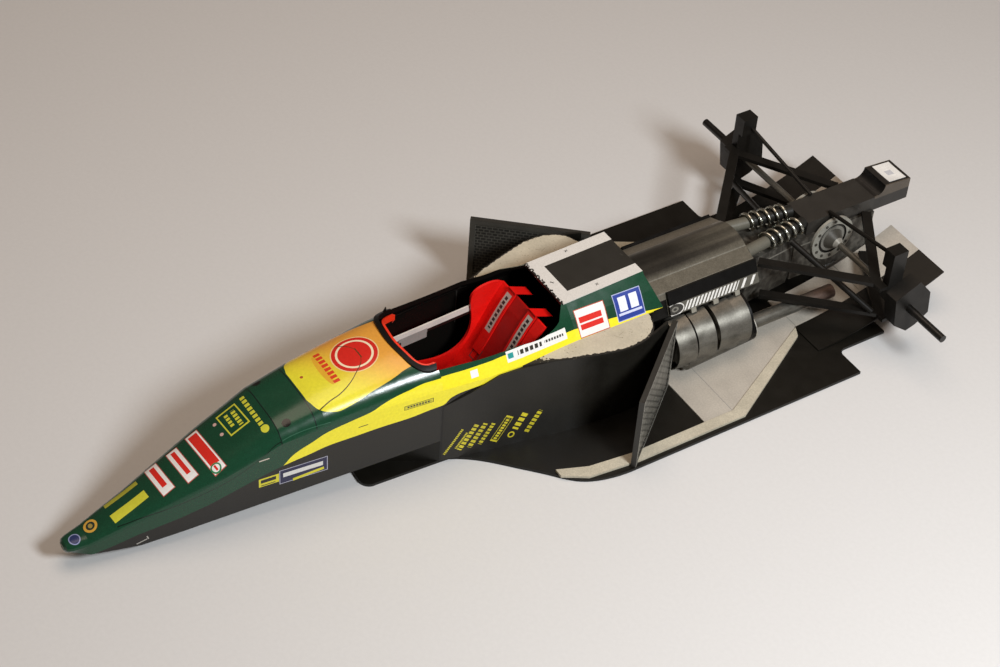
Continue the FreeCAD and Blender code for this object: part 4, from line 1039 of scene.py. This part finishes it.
@dataclass(frozen=True)
class CoverPrint:
    """Light grey print of the floor covers and tunnel roofs, with faint panel lines."""

    name: str = "inkjet_printed_card_light_grey"
    ink: str = "#aaa398"
    marks: tuple[Mark, ...] = (
        Mark((11.5, 147.4, 0.9), (0.07, 3.2), "#7d7a72", both_sides=True, depth=4.0),
        Mark((8.5, 163.0, 5.0), (0.1, 4.2), "#7d7a72", both_sides=True, depth=9.0),
        Mark((17.5, 122.4, 0.9), (0.08, 8.6), "#8a8781", both_sides=True, depth=4.0),
    )

    def build(self) -> Material:
        """Makes the material.

        Returns:
            The finished material.
        """
        canvas = Canvas(self.name, self.ink)
        canvas.print_marks(self.marks)
        canvas.grain(0.3, 0.1)
        canvas.grain(7.0, 0.1)
        canvas.fibre(0.35, 0.015)
        return canvas.finish(0.5)


@dataclass(frozen=True)
class MarkedCard:
    """Matt card in one ink with marks over it: an even colour, a little darker in blotches."""

    name: str = "inkjet_printed_card_red"
    ink: str = "#e2150f"
    marks: tuple[Mark, ...] = ()

    def build(self) -> Material:
        """Makes the material.

        Returns:
            The finished material.
        """
        canvas = Canvas(self.name, self.ink)
        canvas.print_marks(self.marks)
        canvas.grain(0.25, 0.08)
        canvas.grain(4.0, 0.1)
        canvas.fibre(0.3, 0.01)
        return canvas.finish(0.4)


@dataclass(frozen=True)
class CrashBoxPrint:
    """Soot black print of the tail box: its slanted front face painted deep black as the shade
    inside a hollow, and a painted highlight as a brown band along the upper side edges.
    """

    name: str = "inkjet_printed_card_tail_box"
    # Bounds of the painted highlight on the upper side edges and of the painted shade in front.
    lit_band_low_z: float = 16.2
    edge_width: float = 3.1
    shaded_hollow_low_z: float = 15.4
    shaded_hollow_facing: float = -0.3

    def build(self) -> Material:
        """Makes the material.

        Returns:
            The finished material.
        """
        canvas = Canvas(self.name, "#1f1c19")
        # Painted highlight: a lit brown band along the upper side edges.
        canvas.cover(canvas.both(canvas.mask(canvas.z, self.lit_band_low_z),
                                 canvas.mask(canvas.width, self.edge_width)), "#4d443a")
        # Painted shade: the upper face that looks forward is printed deep black, as the shade
        # inside the open front.
        turn = add_node(canvas.tree, PARTS, None, {0: canvas.normal}).outputs[1]
        canvas.cover(canvas.both(canvas.mask(turn, high=self.shaded_hollow_facing),
                                 canvas.mask(canvas.z, self.shaded_hollow_low_z)), "#030303")
        canvas.grain(0.3, 0.14)
        canvas.grain(3.0, 0.16)
        canvas.fibre(0.3, 0.01)
        return canvas.finish(0.38)


@dataclass(frozen=True)
class SpringWire:
    """Bright drawn steel wire, which gives sharp white glints along each coil."""

    name: str = "drawn_spring_steel_wire"
    ink: str = "#b9bab0"
    roughness: float = 0.24

    def build(self) -> Material:
        """Makes the material.

        Returns:
            The finished material.
        """
        canvas = Canvas(self.name, self.ink)
        canvas.grain(0.2, 0.06, (1.0, 1.0, 0.2))
        return canvas.finish(self.roughness, metallic=1.0)


def make_piece(name: str, mesh: bmesh.types.BMesh, finish: Material,
               smooth: bool = False) -> bpy.types.Object:
    """Turns a finished bmesh into a piece of the chassis.

    Args:
        name: Name of the piece.
        mesh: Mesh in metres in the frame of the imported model, freed here.
        finish: Material of the piece.
        smooth: Whether its faces are shaded smooth.

    Returns:
        The new object.
    """
    bmesh.ops.recalc_face_normals(mesh, faces=mesh.faces)
    for face in mesh.faces:
        face.smooth = smooth
    data = bpy.data.meshes.new(name)
    mesh.to_mesh(data)
    mesh.free()
    piece = bpy.data.objects.new(name, data)
    bpy.context.scene.collection.objects.link(piece)
    data.materials.append(finish)
    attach(piece, CHASSIS)
    LOG.info("piece %s: %d faces", name, len(data.polygons))
    return piece


def dress(finish: Material, *nodes: str) -> None:
    """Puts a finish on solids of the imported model.

    Args:
        finish: Material to put on.
        nodes: Names of the solids; a name that ends in an underscore means both sides.
    """
    for name in nodes:
        for node in ([name + "left", name + "right"] if name.endswith("_") else [name]):
            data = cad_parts[node].data
            data.materials.clear()
            data.materials.append(finish)
            LOG.info("dressed %s in %s", node, finish.name)


def frame_along(start: Vector, end: Vector) -> Matrix:
    """Rotation and place that take the z axis onto the line from start to end."""
    return Matrix.Translation(start) @ (end - start).to_track_quat("Z", "Y").to_matrix().to_4x4()


@dataclass
class Bodywork:
    """Nose, tub, deck, tank walls and their glue flanges."""

    def build(self) -> None:
        """Dresses the bodywork."""
        dress(LiveryPrint().build(), "nose_cone", "front_tub", "cockpit_tub")
        dress(DeckPrint().build(), "rear_deck")
        dress(TankWallPrint().build(), "tank_wall_")
        dress(RawCard().build(), "tank_flange_")


@dataclass
class Cockpit:
    """Seat, belts, trim and linkage inside the opening."""

    belt_x: float = 3.55
    belt_s: float = 88.3
    belt_z: float = 16.7
    back_rise: Triple = (0.0, 0.54, 0.84)
    wall_run: Triple = (0.0, 1.0, 0.06)

    def build(self) -> None:
        """Dresses the cockpit."""
        rise = self.back_rise
        marks = []
        for side in (-1, 1):
            place = (side * self.belt_x, self.belt_s, self.belt_z)
            marks.append(Mark(place, (4.2, 0.78), "#b3a79f", rise))
            marks.append(Mark(place, (3.5, 0.36), "#2f2a28", rise, dash=0.95))
        dress(MarkedCard("inkjet_printed_card_red_belt", "#d8130e", tuple(marks)).build(), "belts")
        # Painted shade: the seat's back, deep in the tub, is printed a darker red; the small ring
        # lower down is a printed mark.
        shaded = (Mark((0.9, 88.0, 15.0), (9.5, 3.9), "#a50e0b", rise, depth=4.0),
                  Mark((-3.2, 83.75, 8.75), (1.35, 1.15), "#6b3a3c", rise, hole=0.84))
        dress(MarkedCard(marks=shaded).build(), "seat")
        dress(MarkedCard("inkjet_printed_card_orange_red", "#ea3417").build(), "cockpit_liner")
        dress(PlainCard("black_paper_trim", "#0b0a09", 0.42, grain_strength=0.2,
                        specular=0.18).build(), "cockpit_trim")
        below = (Mark((-7.0, 80.0, 14.0), (14.0, 1.55), "#12100e", self.wall_run, UPWARD),
                 Mark((-7.0, 72.5, 14.2), (3.0, 1.1), "#8f8b85", self.wall_run, UPWARD))
        dress(MarkedCard("pinkish_grey_paper_strip", "#d2c9c0", below).build(), "linkage_rod")


@dataclass
class Floor:
    """Floor plate, keel, covers, tunnel roofs, diffuser, glue strips and radiators."""

    def build(self) -> None:
        """Dresses the floor."""
        black = PlainCard("inkjet_printed_card_brown_black", "#13110d", 0.4, specular=0.28).build()
        dress(black, "floor_plate", "keel", "diffuser_side_")
        dress(CoverPrint().build(), "floor_cover_", "tunnel_roof_")
        dress(PlainCard("raw_card_glue_strip", "#b3ab98", 0.7).build(), "glue_strips")
        dress(RadiatorPrint().build(), "radiator_")


@dataclass
class Engine:
    """Engine, exhausts, gearbox, dampers with their coil springs, and the tail box."""

    damper_front: Triple = (3.9, 139.6, 16.0)
    damper_rear: Triple = (2.0, 154.98, 16.0)
    coil_radius: float = 1.66
    wire_radius: float = 0.38
    coil_setback: float = 5.2
    coil_lead: float = 0.9
    coil_turns: int = 5
    steps_per_turn: int = 28
    bands: tuple[Pair, ...] = ((119.6, 3.9), (124.1, 3.9), (129.3, 4.1), (133.2, 3.2))
    band_centre: Pair = (9.3, 6.5)
    band_radius: float = 5.77
    band_front_radius: float = 5.35
    band_foot: float = 0.92
    band_thickness: float = 0.2
    rim_angle: float = math.radians(40.0)
    disc_face_x: float = 4.62
    bolt_circle: float = 4.2
    bolt_count: int = 12
    bolt_radius: float = 0.34
    label_place: Triple = (0.0, 177.75, 18.62)
    label_width: float = 5.4
    label_length: float = 4.3
    label_curl: float = 0.06
    label_thickness: float = 0.08
    label_fall: Pair = (-0.5, 6.5)

    def build(self) -> None:
        """Dresses the engine and builds its small pieces."""
        dress(EnginePrint().build(), "engine_block", "plenum")
        dress(CamCoverPrint().build(), "cam_cover_")
        silver = SilverPipePrint().build()
        dress(silver, "exhaust_manifold_", "tail_pipe_")
        dress(GearboxPrint().build(), "bellhousing", "gearbox")
        dress(PlainCard("inkjet_printed_card_dark_grey", "#2a2723", 0.42).build(), "gearbox_top")
        dress(CrashBoxPrint().build(), "crash_box")
        # Painted shade: the damper's body inside the coil spring is printed near black, as the
        # shade between the coils.
        inside = (Mark((0.0, 151.0, 16.0), (5.9, 6.0), "#1b1a17", depth=4.0),)
        dress(MarkedCard("silver_grey_paper_damper", "#5e5b51", inside).build(), "damper_")
        dress(OutputDiscPrint().build(), "output_disc_")
        wire = SpringWire().build()
        bolt = PlainCard("dark_paper_bolt", "#45423c", 0.4, 0.3).build()
        for side, name in ((1, "left"), (-1, "right")):
            self.coil_spring(side, name, wire)
            self.disc_bolts(side, name, bolt)
            self.exhaust_bands(side, name, silver)
        self.tail_label()

    def coil_spring(self, side: int, name: str, wire: Material) -> None:
        """Winds the coil spring round a damper.

        Args:
            side: 1 for the car's left, -1 for its right.
            name: Side as it stands in the solids' names.
            wire: Material of the wire.
        """
        front = at(side * self.damper_front[0], *self.damper_front[1:])
        rear = at(side * self.damper_rear[0], *self.damper_rear[1:])
        length = (rear - front).length / MM - self.coil_setback - self.coil_lead
        mesh = bmesh.new()
        bmesh.ops.create_circle(mesh, segments=10, radius=self.wire_radius)
        bmesh.ops.rotate(mesh, verts=mesh.verts, cent=(0.0, 0.0, 0.0),
                         matrix=Matrix.Rotation(math.pi / 2, 3, "X"))
        bmesh.ops.translate(mesh, verts=mesh.verts, vec=(self.coil_radius, 0.0, self.coil_setback))
        steps = self.steps_per_turn * self.coil_turns
        bmesh.ops.spin(mesh, geom=mesh.verts[:] + mesh.edges[:], cent=(0.0, 0.0, 0.0),
                       axis=(0.0, 0.0, 1.0), dvec=(0.0, 0.0, length / steps),
                       angle=2 * math.pi * self.coil_turns, steps=steps)
        bmesh.ops.holes_fill(mesh, edges=mesh.edges)
        bmesh.ops.scale(mesh, verts=mesh.verts, vec=(MM,) * 3)
        bmesh.ops.transform(mesh, verts=mesh.verts, matrix=frame_along(front, rear))
        piece = make_piece("coil_spring_" + name, mesh, wire, smooth=True)
        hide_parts("spring_" + name)

    def exhaust_bands(self, side: int, name: str, finish: Material) -> None:
        """Wraps wide bands of silver paper over the header pipes.

        Args:
            side: 1 for the car's left, -1 for its right.
            name: Side as it stands in the solids' names.
            finish: Material of the bands.
        """
        mesh = bmesh.new()
        x, z = self.band_centre
        for station, width in self.bands:
            bmesh.ops.create_cone(mesh, segments=64, radius1=self.band_radius * MM,
                                  radius2=self.band_front_radius * MM, depth=width * MM,
                                  matrix=Matrix.Translation(at(side * x, station, z))
                                  @ Matrix.Rotation(math.pi / 2, 4, "X"))
        for place, facing in ((at(side * x, 0.0, 0.0), (side, 0.0, 0.0)),
                              (at(0.0, 0.0, self.band_foot), (0.0, 0.0, 1.0))):
            bmesh.ops.bisect_plane(mesh, geom=mesh.verts[:] + mesh.edges[:] + mesh.faces[:],
                                   plane_co=place, plane_no=facing, clear_inner=True)
        bmesh.ops.solidify(mesh, geom=mesh.faces, thickness=self.band_thickness * MM)
        for edge in mesh.edges:
            edge.smooth = edge.calc_face_angle(0.0) < self.rim_angle
        make_piece("exhaust_bands_" + name, mesh, finish, smooth=True)

    def disc_bolts(self, side: int, name: str, finish: Material) -> None:
        """Sets small bolt heads round the output disc's outer ring.

        Args:
            side: 1 for the car's left, -1 for its right.
            name: Side as it stands in the solids' names.
            finish: Material of the heads.
        """
        mesh = bmesh.new()
        axle = at(side * self.disc_face_x, *AXLE)
        for index in range(self.bolt_count):
            turn = Matrix.Rotation(2 * math.pi * index / self.bolt_count, 4, "X")
            place = (Matrix.Translation(axle) @ turn
                     @ Matrix.Translation((0.0, 0.0, self.bolt_circle * MM))
                     @ Matrix.Rotation(math.pi / 2, 4, "Y"))
            bmesh.ops.create_cone(mesh, cap_ends=True, segments=6, radius1=self.bolt_radius * MM,
                                  radius2=self.bolt_radius * MM, depth=self.bolt_radius * MM,
                                  matrix=place)
        make_piece("disc_bolts_" + name, mesh, finish)

    def tail_label(self) -> None:
        """Lays the blank white label on top of the tail box, its side edges curled up."""
        mesh = bmesh.new()
        bmesh.ops.create_grid(mesh, x_segments=8, y_segments=6, size=0.5)
        bmesh.ops.scale(mesh, verts=mesh.verts,
                        vec=(self.label_width * MM, self.label_length * MM, 1.0))
        for vert in mesh.verts:
            share = abs(vert.co.x) / (self.label_width / 2 * MM)
            vert.co.z = self.label_curl * MM * share ** 3
        bmesh.ops.solidify(mesh, geom=mesh.faces, thickness=self.label_thickness * MM)
        tilt = Matrix.Rotation(math.atan2(*self.label_fall), 4, "X")
        place = Matrix.Translation(at(*self.label_place)) @ tilt
        bmesh.ops.transform(mesh, verts=mesh.verts, matrix=place)
        smudge = (Mark((0.2, 177.6, 18.6), (0.8, 0.7), "#b9b9bd"),)
        label = MarkedCard("white_paper_label", "#dedcd8", smudge).build()
        make_piece("blank_tail_label", mesh, label)


@dataclass
class RearSuspension:
    """Wishbones, pushrods, toe links, uprights, ducts, driveshafts and stub axles."""

    def build(self) -> None:
        """Dresses the suspension."""
        black = PlainCard("inkjet_printed_card_soot_black", "#13110e", 0.42, grain_strength=0.18,
                          specular=0.28).build()
        dress(black, "upper_wishbone_", "lower_wishbone_", "upright_", "brake_duct_", "pushrods",
              "toe_links")
        dress(PlainCard("painted_black_stub", "#12110f", 0.32).build(), "stub_axle_")
        dress(PlainCard("silver_paper_shaft", "#6d6a62", 0.34, 0.5).build(), "driveshafts")


@dataclass
class Studio:
    """Pale table, one soft key lamp, a soft box overhead and the camera of the photograph.

    Places, sizes and the camera's distance are in millimetres, its angles in degrees, and the
    table's half width and the camera's near limit in metres.
    """

    focal_length: float = 78.59
    azimuth: float = 54.75
    elevation: float = 42.51
    roll: float = 4.56
    distance: float = 419.61
    target: Triple = (-13.44, 96.07, 0.0)
    sensor_width: float = 36.0
    clip_start: float = 0.01
    key_place: Triple = (250.0, 135.0, 240.0)
    key_size: float = 90.0
    key_power: float = 1.15
    key_tint: Triple = (0.92, 0.965, 1.0)
    top_place: Triple = (-40.0, 100.0, 440.0)
    top_size: float = 360.0
    top_power: float = 0.77
    top_tint: Triple = (1.0, 0.8, 0.64)
    lamp_aim: Triple = (0.0, 95.0, 5.0)
    fill_ink: str = "#ffe8d4"
    fill_strength: float = 0.14
    table_half: float = 4.0
    table_drop: float = 0.02

    def build(self) -> None:
        """Sets up the table, the light and the camera."""
        scene = bpy.context.scene
        scene.view_settings.view_transform = "Standard"
        self.table()
        self.lamp("key_lamp", self.key_place, self.key_size, self.key_power, self.key_tint)
        self.lamp("top_soft_box", self.top_place, self.top_size, self.top_power, self.top_tint)
        self.fill(scene)
        self.camera(scene)

    def table(self) -> None:
        """Lays the pale table top under the model."""
        mesh = bmesh.new()
        bmesh.ops.create_grid(mesh, x_segments=1, y_segments=1, size=self.table_half)
        data = bpy.data.meshes.new("table_top")
        mesh.to_mesh(data)
        mesh.free()
        table = bpy.data.objects.new("table_top", data)
        bpy.context.scene.collection.objects.link(table)
        table.location.z = -self.table_drop * MM
        canvas = Canvas("matt_white_table", "#cecdcc")
        canvas.grain(0.8, 0.015)
        data.materials.append(canvas.finish(0.8, specular=0.2))

    def lamp(self, name: str, place: Triple, size: float, power: float, tint: Triple) -> None:
        """Hangs a round soft lamp that faces the model.

        Args:
            name: Name of the lamp.
            place: Place in the car's stations.
            size: Diameter in millimetres.
            power: Power in watts.
            tint: Colour of the light.
        """
        light = bpy.data.lights.new(name, "AREA")
        light.shape = "DISK"
        light.size = size * MM
        light.energy = power
        light.color = tint
        lamp = bpy.data.objects.new(name, light)
        bpy.context.scene.collection.objects.link(lamp)
        start = at(*place)
        aim = (at(*self.lamp_aim) - start).to_track_quat("-Z", "Y").to_matrix().to_4x4()
        lamp.matrix_world = Matrix.Translation(start) @ aim

    def fill(self, scene: bpy.types.Scene) -> None:
        """Sets the weak even light of the room.

        Args:
            scene: Scene that takes the world.
        """
        world = bpy.data.worlds.new("studio_fill")
        scene.world = world
        world.use_nodes = True
        world.node_tree.nodes.clear()
        fill = add_node(world.node_tree, "ShaderNodeBackground", None,
                        {"Color": linear(self.fill_ink), "Strength": self.fill_strength})
        add_node(world.node_tree, "ShaderNodeOutputWorld", None, {"Surface": fill.outputs[0]})

    def camera(self, scene: bpy.types.Scene) -> None:
        """Places the camera.

        Args:
            scene: Scene that takes the camera.
        """
        azimuth, elevation = math.radians(self.azimuth), math.radians(self.elevation)
        roll = math.radians(self.roll)
        back = Vector((math.sin(azimuth) * math.cos(elevation),
                       -math.cos(azimuth) * math.cos(elevation), math.sin(elevation)))
        level = Vector((math.cos(azimuth), math.sin(azimuth), 0.0))
        rise = back.cross(level)
        right = level * math.cos(roll) + rise * math.sin(roll)
        above = rise * math.cos(roll) - level * math.sin(roll)
        data = bpy.data.cameras.new("camera")
        data.lens = self.focal_length
        data.sensor_width = self.sensor_width
        data.clip_start = self.clip_start
        camera = bpy.data.objects.new("camera", data)
        scene.collection.objects.link(camera)
        turn = Matrix((right, above, back)).transposed().to_4x4()
        place = at(*self.target) + back * self.distance * MM
        camera.matrix_world = Matrix.Translation(place) @ turn
        scene.camera = camera


def main() -> None:
    """Builds the looks of the model in order."""
    logging.basicConfig(level=logging.INFO, format="%(name)s: %(message)s")
    for group in (Studio(), Bodywork(), Cockpit(), Floor(), Engine(), RearSuspension()):
        LOG.info("building %s", type(group).__name__)
        group.build()


if __name__ == "__main__":
    main()
